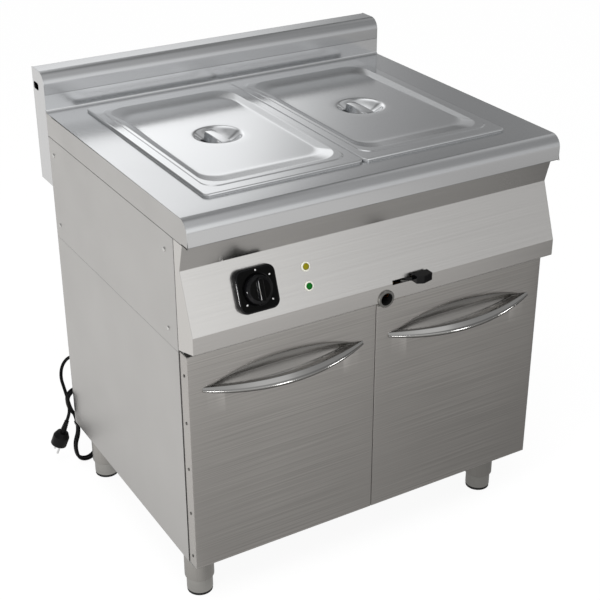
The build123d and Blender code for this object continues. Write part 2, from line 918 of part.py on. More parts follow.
def lid(name, x):
    """Pressed lid: hem on the pan, raised flat border, sunk panel and a bowl for the fingers under the strap."""
    with BuildPart() as hollow:
        with BuildSketch(Plane.XY.offset(lid_base)):
            with Locations((x, pan_y)):
                RectangleRounded(
                    foot_width - 2 * lid_sheet,
                    foot_length - 2 * lid_sheet,
                    lid_corner - lid_sheet,
                )
        extrude(amount=lid_border_height - lid_sheet, taper=lid_border_slope)
        with BuildSketch(Plane.XY.offset(border_top)):
            with Locations((x, pan_y)):
                RectangleRounded(
                    pocket_width + 2 * pocket_wall,
                    pocket_length + 2 * pocket_wall,
                    lid_panel_corner + pocket_wall,
                )
        extrude(amount=-lid_panel_drop - lid_sheet, taper=lid_panel_slope, mode=Mode.SUBTRACT)
    with BuildPart() as shell:
        with BuildSketch(Plane.XY.offset(lid_base)):
            with Locations((x, pan_y)):
                RectangleRounded(lid_width, lid_length, pan_rim_corner)
        extrude(amount=lid_sheet)
        with BuildSketch(Plane.XY.offset(lid_base)):
            with Locations((x, pan_y)):
                RectangleRounded(foot_width, foot_length, lid_corner)
        extrude(amount=lid_border_height, taper=lid_border_slope)
        with BuildSketch(Plane.XY.offset(border_top)):
            with Locations((x, pan_y)):
                RectangleRounded(pocket_width, pocket_length, lid_panel_corner)
        extrude(amount=-lid_panel_drop, taper=lid_panel_slope, mode=Mode.SUBTRACT)
        add(hollow.part, mode=Mode.SUBTRACT)
        bowl_sphere = (bowl_radius**2 + bowl_depth**2) / (2 * bowl_depth)
        bowl_centre = lid_panel - bowl_depth + bowl_sphere
        with BuildSketch(Plane.XY.offset(lid_panel - 2 * lid_sheet)):
            with Locations((x, pan_y)):
                Circle(bowl_radius)
        extrude(amount=4 * lid_sheet, mode=Mode.SUBTRACT)
        outer_sphere = bowl_sphere + lid_sheet
        rim_reach = math.sqrt(outer_sphere**2 - (bowl_centre - lid_panel + lid_sheet) ** 2)
        bowl_floor = lid_panel - bowl_depth
        with BuildSketch(Plane(origin=(x, pan_y, 0), x_dir=(1, 0, 0), z_dir=(0, -1, 0))):
            with BuildLine():
                Line((0, bowl_floor - lid_sheet), (0, bowl_floor))
                RadiusArc((0, bowl_floor), (bowl_radius, lid_panel), -bowl_sphere)
                Line((bowl_radius, lid_panel), (rim_reach, lid_panel - lid_sheet))
                RadiusArc((rim_reach, lid_panel - lid_sheet), (0, bowl_floor - lid_sheet), outer_sphere)
            make_face()
        revolve(axis=Axis(origin=(x, pan_y, 0), direction=(0, 0, 1)))
    finish(shell, name)


def lid_strap(name, x):
    """Arched strap bridging the bowl from front to back, with its feet on the panel."""
    reach = strap_length / 2
    crown = lid_panel + strap_rise + strap_thickness
    with BuildPart() as strap:
        with BuildSketch(Plane.YZ.offset(x)):
            with BuildLine():
                ThreePointArc(
                    (pan_y - reach, lid_panel + strap_thickness),
                    (pan_y, crown),
                    (pan_y + reach, lid_panel + strap_thickness),
                )
                Polyline(
                    (pan_y + reach, lid_panel + strap_thickness),
                    (pan_y + reach, lid_panel),
                    (pan_y + bowl_radius, lid_panel),
                )
                ThreePointArc(
                    (pan_y + bowl_radius, lid_panel),
                    (pan_y, crown - strap_thickness),
                    (pan_y - bowl_radius, lid_panel),
                )
                Polyline(
                    (pan_y - bowl_radius, lid_panel),
                    (pan_y - reach, lid_panel),
                    (pan_y - reach, lid_panel + strap_thickness),
                )
            make_face()
        extrude(amount=strap_width / 2, both=True)
    finish(strap, name)


for word, side in sides:
    pan(f"{word}_pan", side * pan_x)
    lid(f"{word}_lid", side * pan_x)
    lid_strap(f"{word}_lid_strap", side * pan_x)

# Doors
door_outer = half - door_side_inset
door_inner = door_meeting_gap / 2
door_middle = (door_outer + door_inner) / 2
rivet_y = (door_front + door_back) / 2
rivet_pitch = (door_top - rivet_last - door_bottom - rivet_first) / (rivet_count - 1)
rivet_heights = [door_bottom + rivet_first + rivet_pitch * count for count in range(rivet_count)]


def lens_outline(centre, half_length, rise, fall):
    """Edges of two arcs from tip to tip, one above and one below the line between the tips."""
    with BuildLine() as outline:
        ThreePointArc(
            (centre - half_length, handle_height),
            (centre, handle_height + rise),
            (centre + half_length, handle_height),
        )
        ThreePointArc(
            (centre + half_length, handle_height),
            (centre, handle_height - fall),
            (centre - half_length, handle_height),
        )
    return outline.edges()


def front_plane(y):
    """Upright plane seen from the front: X to the right, Y up, Z towards the viewer."""
    return Plane(origin=(0, y, 0), x_dir=(1, 0, 0), z_dir=(0, -1, 0))


def scoop(centre, grow):
    """Pressed hollow as a loft from the mouth to the floor, grown by a wall on every side."""
    mouth_edges = lens_outline(centre, scoop_half_length + 3 * grow, scoop_rise + grow, scoop_fall + grow)
    floor_edges = lens_outline(
        centre,
        scoop_floor_half_length + 3 * grow,
        scoop_floor_rise + grow,
        scoop_floor_fall + grow,
    )
    with BuildPart() as hollow:
        with BuildSketch(front_plane(door_front)):
            make_face(mouth_edges)
        with BuildSketch(front_plane(door_front + scoop_depth + grow)):
            make_face(floor_edges)
        loft(ruled=True)
    return hollow.part


def hinge_holes(side, radius):
    """Cut the hinge pins' holes through the whole height of a door."""
    place = (side * hinge_x, hinge_y)
    rod((*place, door_bottom - door_gap), (*place, door_top + door_gap), radius, Mode.SUBTRACT)


def rivet_holes(side):
    """Cut the rivets' holes through the outer edge of a door."""
    for z in rivet_heights:
        rod(
            (side * (door_outer - 2 * liner_fold), rivet_y, z),
            (side * half, rivet_y, z),
            rivet_shank_radius + running_fit,
            Mode.SUBTRACT,
        )


for word, side in sides:
    centre = side * door_middle
    mouth = scoop(centre, 0.0)
    press = scoop(centre, door_sheet)
    with BuildPart() as door_skin:
        block((side * door_inner, side * door_outer), (door_front, door_back), (door_bottom, door_top))
        fillet(door_skin.edges().group_by(Axis.Y)[0], door_edge_radius)
        block(
            (side * (door_inner + door_sheet), side * (door_outer - door_sheet)),
            (door_front + door_sheet, door_back),
            (door_bottom + door_sheet, door_top - door_sheet),
            Mode.SUBTRACT,
        )
        hinge_holes(side, hinge_pin_radius + running_fit)
        rivet_holes(side)
        add(press)
        add(mouth, mode=Mode.SUBTRACT)
    finish(door_skin, f"{word}_door_skin")

    inset = door_sheet
    with BuildPart() as door_liner:
        block(
            (side * (door_inner + inset), side * (door_outer - inset)),
            (door_back - liner_fold, door_back),
            (door_bottom + inset, door_top - inset),
        )
        block(
            (side * (door_inner + 2 * inset), side * (door_outer - 2 * inset)),
            (door_back - liner_fold, door_back - inset),
            (door_bottom + 2 * inset, door_top - 2 * inset),
            Mode.SUBTRACT,
        )
        for low, high in (
            (door_bottom, door_bottom + 3 * inset),
            (door_top - 3 * inset, door_top),
        ):
            rod(
                (side * hinge_x, hinge_y, low),
                (side * hinge_x, hinge_y, high),
                hinge_pin_radius + running_fit,
                Mode.SUBTRACT,
            )
        rivet_holes(side)
    finish(door_liner, f"{word}_door_liner")

    with BuildPart() as door_rivets:
        for z in rivet_heights:
            under = door_outer - 2 * door_sheet
            for near_end, far_end, radius in (
                (door_outer, door_outer + rivet_head_height, rivet_head_radius),
                (under, door_outer, rivet_shank_radius),
                (under - rivet_tail_height, under, rivet_head_radius),
            ):
                rod((side * near_end, rivet_y, z), (side * far_end, rivet_y, z), radius)
    finish(door_rivets, f"{word}_door_rivets")

    with BuildPart() as hinge_pins:
        place = (side * hinge_x, hinge_y)
        lower_bracket = leg_height - bracket_thickness
        rod((*place, lower_bracket), (*place, door_bottom + hinge_pin_grip), hinge_pin_radius)
        rod((*place, leg_height), (*place, door_bottom), hinge_collar_radius)
        top_bracket = door_top + door_foot_gap + bracket_thickness
        rod((*place, door_top - hinge_pin_grip), (*place, top_bracket), hinge_pin_radius)
    finish(hinge_pins, f"{word}_hinge_pins")

    tip_left = (centre - bar_half_length, door_front, handle_height)
    tip_right = (centre + bar_half_length, door_front, handle_height)
    crown = (centre, door_front - bar_reach, handle_height - bar_drop)
    with BuildPart() as handle_bar:
        bow = Edge.make_three_point_arc(tip_left, crown, tip_right)
        for station in range(bar_stations):
            share = station / (bar_stations - 1)
            swell = bar_tip_share + (1 - bar_tip_share) * math.sin(math.pi * share) ** 0.75
            with BuildSketch(Plane(origin=bow @ share, x_dir=(0, 0, 1), z_dir=bow % share)):
                Ellipse(bar_half_height * swell, bar_half_depth * swell)
        loft()
        block(
            (centre - 2 * bar_half_length, centre + 2 * bar_half_length),
            (door_front, door_back),
            (door_bottom, door_top),
            Mode.SUBTRACT,
        )
    finish(handle_bar, f"{word}_door_handle")

# Hinge brackets, two for each door
with BuildPart() as hinge_brackets:
    for word, side in sides:
        plate_outer = hinge_x + bracket_edge
        plate_x = (side * (plate_outer - bracket_width), side * plate_outer)
        upper = door_top + door_foot_gap
        block(plate_x, (hinge_y - bracket_nose, panel_front), (upper, upper + bracket_thickness))
        block(plate_x, (panel_front - bracket_thickness, panel_front), (upper, upper + bracket_rise))
        block(
            plate_x,
            (hinge_y - bracket_nose, panel_front + bracket_foot),
            (leg_height - bracket_thickness, leg_height),
        )
    for word, side in sides:
        rod(
            (side * hinge_x, hinge_y, leg_height - 2 * bracket_thickness),
            (side * hinge_x, hinge_y, cabinet_top + bracket_rise),
            hinge_pin_radius + running_fit,
            Mode.SUBTRACT,
        )
finish(hinge_brackets, "hinge_brackets")

# Magnetic catches under the module base, touching the closed doors
with BuildPart() as door_catches:
    for word, side in sides:
        block(
            (side * catch_from_middle, side * (catch_from_middle + catch_width)),
            (door_back, door_back + catch_depth),
            (cabinet_top - catch_height, cabinet_top),
        )
finish(door_catches, "door_catches")

# Cable duct in the rear left corner of the cabinet, and the terminal block above it
with BuildPart() as cable_duct:
    duct_right = gland_x + duct_width / 2
    block((-inner_half, duct_right), (back - duct_depth, back - 2 * sheet), (base_top, cabinet_top))
    block(
        (-inner_half, duct_right - sheet),
        (back - duct_depth + sheet, back - 2 * sheet),
        (base_top, cabinet_top),
        Mode.SUBTRACT,
    )
    block((duct_right - sheet, duct_right), (back - 2 * sheet, back - sheet), (base_top, cabinet_top))
finish(cable_duct, "cable_duct")

with BuildPart() as terminal_block:
    terminal_rear = back - terminal_from_rear
    terminal_base = cabinet_top + sheet
    block(
        (gland_x, gland_x + terminal_length),
        (terminal_rear - terminal_depth, terminal_rear),
        (terminal_base, terminal_base + terminal_height),
    )
    cells = int(terminal_length // (1.25 * terminal_cell))
    for cell in range(cells):
        left = gland_x + (cell + 0.5) * terminal_length / cells - terminal_cell / 2
        block(
            (left, left + terminal_cell),
            (terminal_rear - terminal_depth, terminal_rear - terminal_depth * 0.6),
            (terminal_base + terminal_height * 0.6, terminal_base + terminal_height),
            Mode.SUBTRACT,
        )
finish(terminal_block, "terminal_block")

# Drain pipe from the tank floor to the valve
drain_points = [
    (drain_hole_x, drain_hole_y, tank_bottom),
    (drain_hole_x, drain_hole_y, drain_z),
    (drain_hole_x, drain_y, drain_z),
    (valve_x + valve_length / 2, drain_y, drain_z),
]
with BuildPart() as drain_pipe:
    with BuildLine() as drain_path:
        FilletPolyline(*drain_points, radius=pipe_bend)
    with BuildSketch(Plane(origin=drain_path.line @ 0, z_dir=drain_path.line % 0)):
        Circle(pipe_radius)
        Circle(pipe_bore, mode=Mode.SUBTRACT)
    sweep(path=drain_path.wires()[0])
    with BuildSketch(Plane.XY.offset(tank_bottom)):
        with Locations((drain_hole_x, drain_hole_y)):
            Circle(drain_flange_radius)
            Circle(pipe_bore, mode=Mode.SUBTRACT)
    extrude(amount=-drain_flange_thickness)
finish(drain_pipe, "drain_pipe")

# Ball valve: body, ball with its stem, and the lever
valve_place = (valve_x, drain_y)
valve_left = valve_x - valve_length / 2
valve_right = valve_x + valve_length / 2
neck_top = drain_z + valve_neck_top
with BuildPart() as valve_body:
    rod((valve_left, drain_y, drain_z), (valve_right, drain_y, drain_z), valve_radius)
    rod(
        (valve_x - valve_belly_length / 2, drain_y, drain_z),
        (valve_x + valve_belly_length / 2, drain_y, drain_z),
        valve_belly_radius,
    )
    rod((*valve_place, drain_z), (*valve_place, neck_top), valve_neck_radius)
    rod((valve_left, drain_y, drain_z), (valve_right, drain_y, drain_z), ball_bore, Mode.SUBTRACT)
    with Locations((valve_x, drain_y, drain_z)):
        Sphere(ball_radius + ball_clearance, mode=Mode.SUBTRACT)
    rod((*valve_place, drain_z), (*valve_place, neck_top), stem_radius + running_fit, Mode.SUBTRACT)
finish(valve_body, "valve_body")

lever_bottom = slot_bottom + lever_slot_gap
lever_top = lever_bottom + lever_thickness
with BuildPart() as valve_ball:
    with Locations((valve_x, drain_y, drain_z)):
        Sphere(ball_radius)
    rod((*valve_place, drain_z), (*valve_place, lever_top), stem_radius)
    rod(
        (valve_x, drain_y - 2 * ball_radius, drain_z),
        (valve_x, drain_y + 2 * ball_radius, drain_z),
        ball_bore,
        Mode.SUBTRACT,
    )
finish(valve_ball, "valve_ball")

grip_x = valve_x + grip_left
grip_outline = [
    (grip_x, worktop_front - grip_rear),
    (grip_x, worktop_front - grip_front),
    (grip_x + grip_peak, worktop_front - grip_front - grip_crown),
    (grip_x + grip_span, worktop_front - grip_front),
    (grip_x + grip_span, worktop_front - grip_rear),
]
with BuildPart() as drain_lever:
    rod((*valve_place, neck_top), (*valve_place, lever_top), lever_hub_radius)
    arm = Vector(lever_arm_dx, lever_arm_dy, 0)
    arm_plane = Plane(origin=(*valve_place, lever_bottom), x_dir=arm, z_dir=(0, 0, 1))
    with BuildSketch(arm_plane):
        Rectangle(arm.length, lever_arm_width, align=(Align.MIN, Align.CENTER))
    extrude(amount=lever_thickness)
    with BuildSketch(Plane.XY.offset(lever_bottom)):
        Polygon(*grip_outline, align=None)
    extrude(amount=grip_height)
    rod((*valve_place, neck_top), (*valve_place, lever_top), stem_radius, Mode.SUBTRACT)
finish(drain_lever, "drain_lever")

# Spout: elbow from the valve, neck through the apron and a ring on its face
with BuildPart() as drain_spout:
    elbow = spout_neck_radius
    block((-elbow, valve_left), (drain_y - elbow, drain_y + elbow), (drain_z - elbow, drain_z + elbow))
    mouth_y = apron_y - spout_reach
    rod((0, drain_y, drain_z), (0, apron_y, drain_z), spout_neck_radius)
    rod((0, apron_y, drain_z), (0, mouth_y + spout_chamfer, drain_z), spout_radius)
    with BuildSketch(Plane(origin=(0, mouth_y + spout_chamfer, drain_z), z_dir=(0, -1, 0))):
        Circle(spout_radius)
    extrude(amount=spout_chamfer, taper=45)
    rod((0, drain_y, drain_z), (valve_left, drain_y, drain_z), ball_bore, Mode.SUBTRACT)
    rod((0, mouth_y, drain_z), (0, drain_y + ball_bore, drain_z), spout_bore, Mode.SUBTRACT)
finish(drain_spout, "drain_spout")

# Cable gland on the rear panel
with BuildPart() as cable_gland:
    rod((gland_x, back, gland_z), (gland_x, back + gland_hex_height, gland_z), gland_hex_radius)
    rod((gland_x, back, gland_z), (gland_x, back + gland_reach, gland_z), gland_dome_radius)
    rod((gland_x, back - sheet, gland_z), (gland_x, back, gland_z), gland_thread_radius)
    nut_y = back - sheet
    rod((gland_x, nut_y - gland_nut_height, gland_z), (gland_x, nut_y, gland_z), gland_nut_radius)
    fillet(
        cable_gland.edges().filter_by(GeomType.CIRCLE).group_by(Axis.Y)[-1],
        gland_dome_radius - cord_radius - sheet,
    )
finish(cable_gland, "cable_gland")

# Supply cord: lead from the gland, hank of loops tied at the waist, tail to the plug
gland_mouth = Vector(gland_x, back + gland_reach, gland_z)
hank_plane = Plane(
    origin=gland_mouth + Vector(*hank_offset),
    x_dir=(math.cos(math.radians(hank_lean)), 0, math.sin(math.radians(hank_lean))),
    z_dir=(0, -1, 0),
)


def hank_point(u, w, layer):
    """World point of the hank: u across it, w up along it, layer towards the cabinet."""
    return hank_plane.from_local_coords(Vector(u, w, layer))


def hank_direction(u, w, layer):
    """World direction of a hank direction."""
    return (hank_point(u, w, layer) - hank_point(0, 0, 0)).normalized()


def loop_nodes(layer):
    """Places and directions round one loop: down the left run, round the bottom, up the right and over."""
    climb = 1.5 * hank_layer / hank_top_at
    return [
        ((-hank_waist_half, hank_waist_at, layer), (0, -1, 0)),
        ((-hank_bottom_radius, 0, layer), (0, -1, 0)),
        ((0, -hank_bottom_radius, layer), (1, 0, 0)),
        ((hank_bottom_radius, 0, layer), (0, 1, 0)),
        ((hank_waist_half, hank_waist_at, layer + hank_layer / 2), (0, 1, climb)),
        ((hank_top_radius, hank_top_at, layer + hank_layer), (0, 1, 0)),
        ((0, hank_top_at + hank_top_radius, layer + hank_layer), (-1, 0, 0)),
        ((-hank_top_radius, hank_top_at, layer + hank_layer), (0, -1, 0)),
    ]


def biarc(start, start_direction, end, end_direction):
    """Two arcs that leave start and reach end along the given directions and join smoothly."""
    chord = end - start
    total = start_direction + end_direction
    spread = 2 * (1 - start_direction.dot(end_direction))
    along = chord.dot(total)
    if spread < 1e-9:
        reach = chord.dot(chord) / (4 * chord.dot(end_direction))
    else:
        reach = (math.sqrt(along**2 + spread * chord.dot(chord)) - along) / spread
    first = start + start_direction * reach
    second = end - end_direction * reach
    joint = (first + second) * 0.5
    return [(start, start_direction, joint), (joint, (second - first).normalized(), end)]


hank_nodes = [node for loop in range(hank_loops) for node in loop_nodes(loop * hank_layer)]
hank_stops = [(hank_point(*place), hank_direction(*direction)) for place, direction in hank_nodes]
hank_arcs = [
    arc
    for (start, start_direction), (end, end_direction) in zip(hank_stops, hank_stops[1:])
    for arc in biarc(start, start_direction, end, end_direction)
]
with BuildPart() as cord_hank:
    with BuildLine() as hank_path:
        for start, direction, end in hank_arcs:
            TangentArc(start, end, tangent=direction)
    with BuildSketch(Plane(origin=hank_stops[0][0], z_dir=hank_stops[0][1])):
        Circle(cord_radius)
    sweep(path=hank_path.wires()[0])
finish(cord_hank, "cord_hank")


def least_gap(wire, radius):
    """Least gap of a tube to itself, measured between points more than three diameters apart along it."""
    count = int(wire.length / radius)
    points = [wire @ (step / count) for step in range(count + 1)]
    apart = int(6 * radius * count / wire.length) + 1
    return min(
        (points[one] - points[two]).length - 2 * radius
        for one in range(count + 1)
        for two in range(one + apart, count + 1)
    )


def cord_tube(points):
    """Tube along straight runs joined by arcs, each as large as its two runs allow."""
    runs = [end - start for start, end in zip(points, points[1:])]
    radii = []
    for before, after in zip(runs, runs[1:]):
        turn = math.radians(before.get_angle(after))
        radii.append(0.45 * min(before.length, after.length) / math.tan(turn / 2))
    with BuildPart() as tube:
        with BuildLine() as path:
            FilletPolyline(*points, radius=radii)
        with BuildSketch(Plane(origin=path.line @ 0, z_dir=path.line % 0)):
            Circle(cord_radius)
        sweep(path=path.wires()[0])
    length = path.wires()[0].length
    print("arc radii", [round(radius, 1) for radius in radii], "length", round(length, 1))
    share = tube.part.volume / (math.pi * cord_radius**2 * length)
    print("volume over section times length", round(share, 4))
    return tube


hank_start = hank_stops[0][0]
hank_end = hank_stops[-1][0]
hank_up = hank_direction(0, 1, 0)
lead_offsets = [
    (0, 0, 0),
    (0, 24, 0),
    (-10, 42, -14),
    (-22, 46, -34),
    (-30, 34, -55),
    (-31, 13, -71),
    (-30, 1, -92),
    (-27, -4, -115),
]
lead_points = [gland_mouth + Vector(*offset) for offset in lead_offsets]
lead_points += [hank_start + hank_up * 18, hank_start]
cord_lead = cord_tube(lead_points)
finish(cord_lead, "cord_lead")

tail_offsets = [(0.3, 2.0, -34.6), (-5.7, 4.5, -51.1)]
tail_points = [hank_end, hank_end - hank_up * 16]
tail_points += [hank_end + Vector(*offset) for offset in tail_offsets]
cord_tail = cord_tube(tail_points)
finish(cord_tail, "cord_tail")

hank_wire = hank_path.wires()[0]
print("hank length", round(hank_wire.length, 1), "least gap", round(least_gap(hank_wire, cord_radius), 2))
hank_share = cord_hank.part.volume / (math.pi * cord_radius**2 * hank_wire.length)
print("hank volume over section times length", round(hank_share, 4))

# Tie round the hank's waist
tie_layers = (hank_loops - 0.5) * hank_layer
with BuildPart() as cord_tie:
    tie_origin = hank_point(0, hank_waist_at - tie_height / 2, tie_layers / 2)
    tie_across = 2 * (hank_waist_half + cord_radius + tie_clearance)
    tie_deep = tie_layers + 2 * (cord_radius + tie_clearance)
    with BuildSketch(Plane(origin=tie_origin, x_dir=hank_plane.x_dir, z_dir=hank_up)):
        RectangleRounded(tie_across + 2 * tie_wall, tie_deep + 2 * tie_wall, cord_radius)
        RectangleRounded(tie_across, tie_deep, cord_radius - tie_wall, mode=Mode.SUBTRACT)
    extrude(amount=tie_height)
finish(cord_tie, "cord_tie")

# Mains plug on the tail, with its axis along the tail's last run
plug_axis = (tail_points[-1] - tail_points[-2]).normalized()


def plug_at(distance):
    """Plane across the plug at a distance from the end of the cord."""
    return Plane(origin=tail_points[-1] + plug_axis * distance, x_dir=(0, 1, 0), z_dir=plug_axis)


plug_shoulder = plug_relief_length + plug_shoulder_length
plug_face = plug_shoulder + plug_body_length
with BuildPart() as mains_plug:
    for start, end, start_radius, end_radius in (
        (0, plug_relief_length, plug_relief_tip_radius, plug_relief_radius),
        (plug_relief_length, plug_shoulder, plug_shoulder_radius, plug_body_radius),
    ):
        with BuildSketch(plug_at(start)):
            Circle(start_radius)
        with BuildSketch(plug_at(end)):
            Circle(end_radius)
        loft()
    with BuildSketch(plug_at(plug_shoulder)):
        Circle(plug_body_radius)
    extrude(amount=plug_body_length)
    with BuildSketch(plug_at(plug_face)):
        with Locations((plug_pin_half_pitch, 0), (-plug_pin_half_pitch, 0)):
            Circle(plug_pin_radius)
    extrude(amount=plug_pin_length)
finish(mains_plug, "mains_plug")
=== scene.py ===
"""Looks of the bain marie: pressed lids, worktop, doors, controls, cord, finishes, light and camera.

Sizes of the pieces are in millimetres, and those of the room are in metres.
"""

import functools
import logging
import math
from collections.abc import Callable
from dataclasses import dataclass, field
from enum import Enum

import bmesh
import bpy
import numpy as np
from bpy.types import ID, Material, Mesh, Node, NodeSocket, NodeTree, Object
from mathutils import Euler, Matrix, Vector


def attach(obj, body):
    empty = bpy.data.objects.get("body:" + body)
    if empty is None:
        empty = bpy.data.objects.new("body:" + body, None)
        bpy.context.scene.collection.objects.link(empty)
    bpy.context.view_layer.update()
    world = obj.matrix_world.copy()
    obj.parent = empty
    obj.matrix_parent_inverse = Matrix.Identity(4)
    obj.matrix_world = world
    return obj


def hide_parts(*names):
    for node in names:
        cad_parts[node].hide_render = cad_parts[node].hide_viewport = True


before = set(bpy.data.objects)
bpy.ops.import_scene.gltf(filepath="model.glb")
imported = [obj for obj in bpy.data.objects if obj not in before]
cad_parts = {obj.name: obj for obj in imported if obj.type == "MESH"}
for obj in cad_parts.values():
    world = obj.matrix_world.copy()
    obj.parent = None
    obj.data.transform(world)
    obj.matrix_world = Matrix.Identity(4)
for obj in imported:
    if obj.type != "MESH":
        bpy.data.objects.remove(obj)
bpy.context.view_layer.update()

MM = 0.001
QUARTER = math.pi / 2
TINY = 1e-6
WELD = 2e-6
BEVEL_SAMPLES = 4
EDGE_SEGMENTS = 3
CORNER_STEPS = 9
WHITE = (1.0, 1.0, 1.0, 1.0)
log = logging.getLogger("bain_marie")

Colour = tuple[float, float, float, float]
Point = tuple[float, float, float]
Pair = tuple[float, float]
Row = tuple[float, ...]
Rows = tuple[Row, ...]
Numbers = np.ndarray | list[float] | Row


def linear(code: str, gain: float = 1.0) -> Colour:
    """Turn an sRGB hex colour into linear light by the sRGB curve.

    Args:
        code: colour as "#RRGGBB".
        gain: share that the linear colour is multiplied by.

    Returns:
        Linear red, green, blue and an alpha of 1.
    """
    channels = np.array([int(code[i:i + 2], 16) for i in (1, 3, 5)]) / 255.0
    curve = np.where(channels <= 0.04045, channels / 12.92, ((channels + 0.055) / 1.055) ** 2.4)
    return (*(curve * gain).tolist(), 1.0)


def add_node(tree: NodeTree, kind: str, inputs: dict | None = None, **settings: str | int) -> Node:
    """Add one shader node with its settings, and set or link its inputs.

    Args:
        tree: node tree that takes the node.
        kind: node type, without its leading "ShaderNode".
        inputs: a value, an output socket, or a node whose first open output is linked, by the socket's name
            or number.
        settings: attributes of the node.

    Returns:
        The new node.
    """
    node = tree.nodes.new("ShaderNode" + kind)
    for name, value in settings.items():
        setattr(node, name, value)
    for key, value in (inputs or {}).items():
        named = [socket for socket in node.inputs if socket.enabled and socket.name == key]
        socket = named[0] if named else node.inputs[key]
        if isinstance(value, Node):
            value = next(output for output in value.outputs if output.enabled)
        if isinstance(value, NodeSocket):
            tree.links.new(value, socket)
        else:
            socket.default_value = value
    return node


def new_material(name: str) -> tuple[Material, NodeTree]:
    """Make an empty node material.

    Args:
        name: its name.

    Returns:
        The material and its node tree.
    """
    material = bpy.data.materials.new(name)
    material.use_nodes = True
    material.node_tree.nodes.clear()
    return material, material.node_tree


class Grain(Enum):
    """Direction of the brushing: how often the pattern repeats per metre along X, Y and Z."""

    ALONG_X = (2.5, 420.0, 420.0)
    ALONG_Y = (330.0, 5.0, 330.0)
    ALONG_Z = (330.0, 330.0, 5.0)
    ALL_WAYS = (140.0, 140.0, 140.0)


@dataclass(frozen=True)
class Finish:
    """Named finish, whose subclass draws what goes into its one shader."""

    name: str

    def shader_inputs(self, tree: NodeTree) -> dict:
        """Draw the finish's nodes and give the shader's inputs."""
        raise NotImplementedError

    def material(self) -> Material:
        """Build the material from the finish's shader.

        Returns:
            The finished material.
        """
        material, tree = new_material(self.name)
        shader = add_node(tree, "BsdfPrincipled", self.shader_inputs(tree))
        add_node(tree, "OutputMaterial", {"Surface": shader})
        return material


@dataclass(frozen=True)
class SheetSteel(Finish):
    """Brushed or rolled stainless sheet: grey metal whose fine lines smear its reflections.

    The real lines are about 0.1 mm apart and would not show, so they are drawn 2 to 3 mm apart.
    """

    colour: str
    roughness: float
    grain: Grain
    line_shade: float = 0.10
    line_depth: float = 0.02
    rough_swing: float = 0.06
    edge: float = 0.7
    # seam: share by which the colour darkens along edges and folds, as painted shade
    seam: float = 0.0
    cloud_size: float = 160.0
    cloud_detail: float = 2.0
    line_detail: float = 4.0
    line_break: float = 0.65
    line_relief: float = 0.35
    line_span: Pair = (0.3, 0.7)
    blur_span: Pair = (0.6, 1.4)
    painted_seam_shade_span: Pair = (0.8, 0.98)

    def shader_inputs(self, tree: NodeTree) -> dict:
        """Draw stretched lines, soft clouds of handling, and eased edges with painted shade along seams and
        folds.

        The painted seam shade comes in where the eased normal turns away from the face's own normal.

        Args:
            tree: the material's node tree.

        Returns:
            Inputs of the shader.
        """
        place = add_node(tree, "TexCoord").outputs["Object"]
        stretch = add_node(tree, "Mapping", {"Scale": self.grain.value, "Vector": place})
        lines = add_node(tree, "TexNoise", {
            "Scale": 1.0, "Detail": self.line_detail, "Roughness": self.line_break, "Vector": stretch})
        clouds = add_node(tree, "TexNoise", {
            "Scale": 1.0 / (self.cloud_size * MM), "Detail": self.cloud_detail, "Vector": place})
        shade = add_node(tree, "MapRange", {
            "Value": lines, "From Min": self.line_span[0], "From Max": self.line_span[1]})
        lined = add_node(tree, "Mix", {
            "Factor": shade, "A": linear(self.colour, 1.0 - self.line_shade), "B": linear(self.colour)},
            data_type="RGBA")
        blur = add_node(tree, "Math", {0: lines, 1: clouds}, operation="ADD")
        rough = add_node(tree, "MapRange", {
            "Value": blur, "From Min": self.blur_span[0], "From Max": self.blur_span[1],
            "To Min": self.roughness - self.rough_swing, "To Max": self.roughness + self.rough_swing})
        rounded = add_node(tree, "Bevel", {"Radius": self.edge * MM}, samples=BEVEL_SAMPLES)
        bump = add_node(tree, "Bump", {
            "Strength": self.line_relief, "Distance": self.line_depth * MM, "Height": lines,
            "Normal": rounded})
        # Painted shade: the colour darkens where the eased normal turns away from the face's own normal
        face = add_node(tree, "NewGeometry").outputs["Normal"]
        even = add_node(tree, "VectorMath", {0: rounded, 1: face}, operation="DOT_PRODUCT")
        clear = add_node(tree, "MapRange", {
            "Value": even, "From Min": self.painted_seam_shade_span[0], "From Max": self.painted_seam_shade_span[1]})
        sheet = add_node(tree, "Mix", {
            "Factor": clear, "A": linear(self.colour, 1.0 - self.seam), "B": lined}, data_type="RGBA")
        return {"Metallic": 1.0, "Base Color": sheet, "Roughness": rough, "Normal": bump}


@dataclass(frozen=True)
class Moulded(Finish):
    """Moulded plastic or rubber: a coloured body under a glossy or dull skin with a faint orange peel."""

    colour: str
    roughness: float
    peel_size: float = 1.5
    peel_depth: float = 0.02
    ior: float = 1.5
    edge: float = 0.6
    sheen: float = 0.5
    peel_detail: float = 2.0
    peel_relief: float = 0.3
    tone_span: Pair = (0.85, 1.12)
    rough_span: Pair = (0.85, 1.15)

    def shader_inputs(self, tree: NodeTree) -> dict:
        """Draw the peel and the eased edges.

        Args:
            tree: the material's node tree.

        Returns:
            Inputs of the shader.
        """
        place = add_node(tree, "TexCoord").outputs["Object"]
        peel = add_node(tree, "TexNoise", {
            "Scale": 1.0 / (self.peel_size * MM), "Detail": self.peel_detail, "Vector": place})
        dark, light = (linear(self.colour, tone) for tone in self.tone_span)
        colour = add_node(tree, "Mix", {"Factor": peel, "A": dark, "B": light}, data_type="RGBA")
        smooth, dull = (self.roughness * share for share in self.rough_span)
        rough = add_node(tree, "MapRange", {"Value": peel, "To Min": smooth, "To Max": dull})
        rounded = add_node(tree, "Bevel", {"Radius": self.edge * MM}, samples=BEVEL_SAMPLES)
        bump = add_node(tree, "Bump", {
            "Strength": self.peel_relief, "Distance": self.peel_depth * MM, "Height": peel,
            "Normal": rounded})
        return {"IOR": self.ior, "Specular IOR Level": self.sheen, "Base Color": colour, "Roughness": rough,
                "Normal": bump}


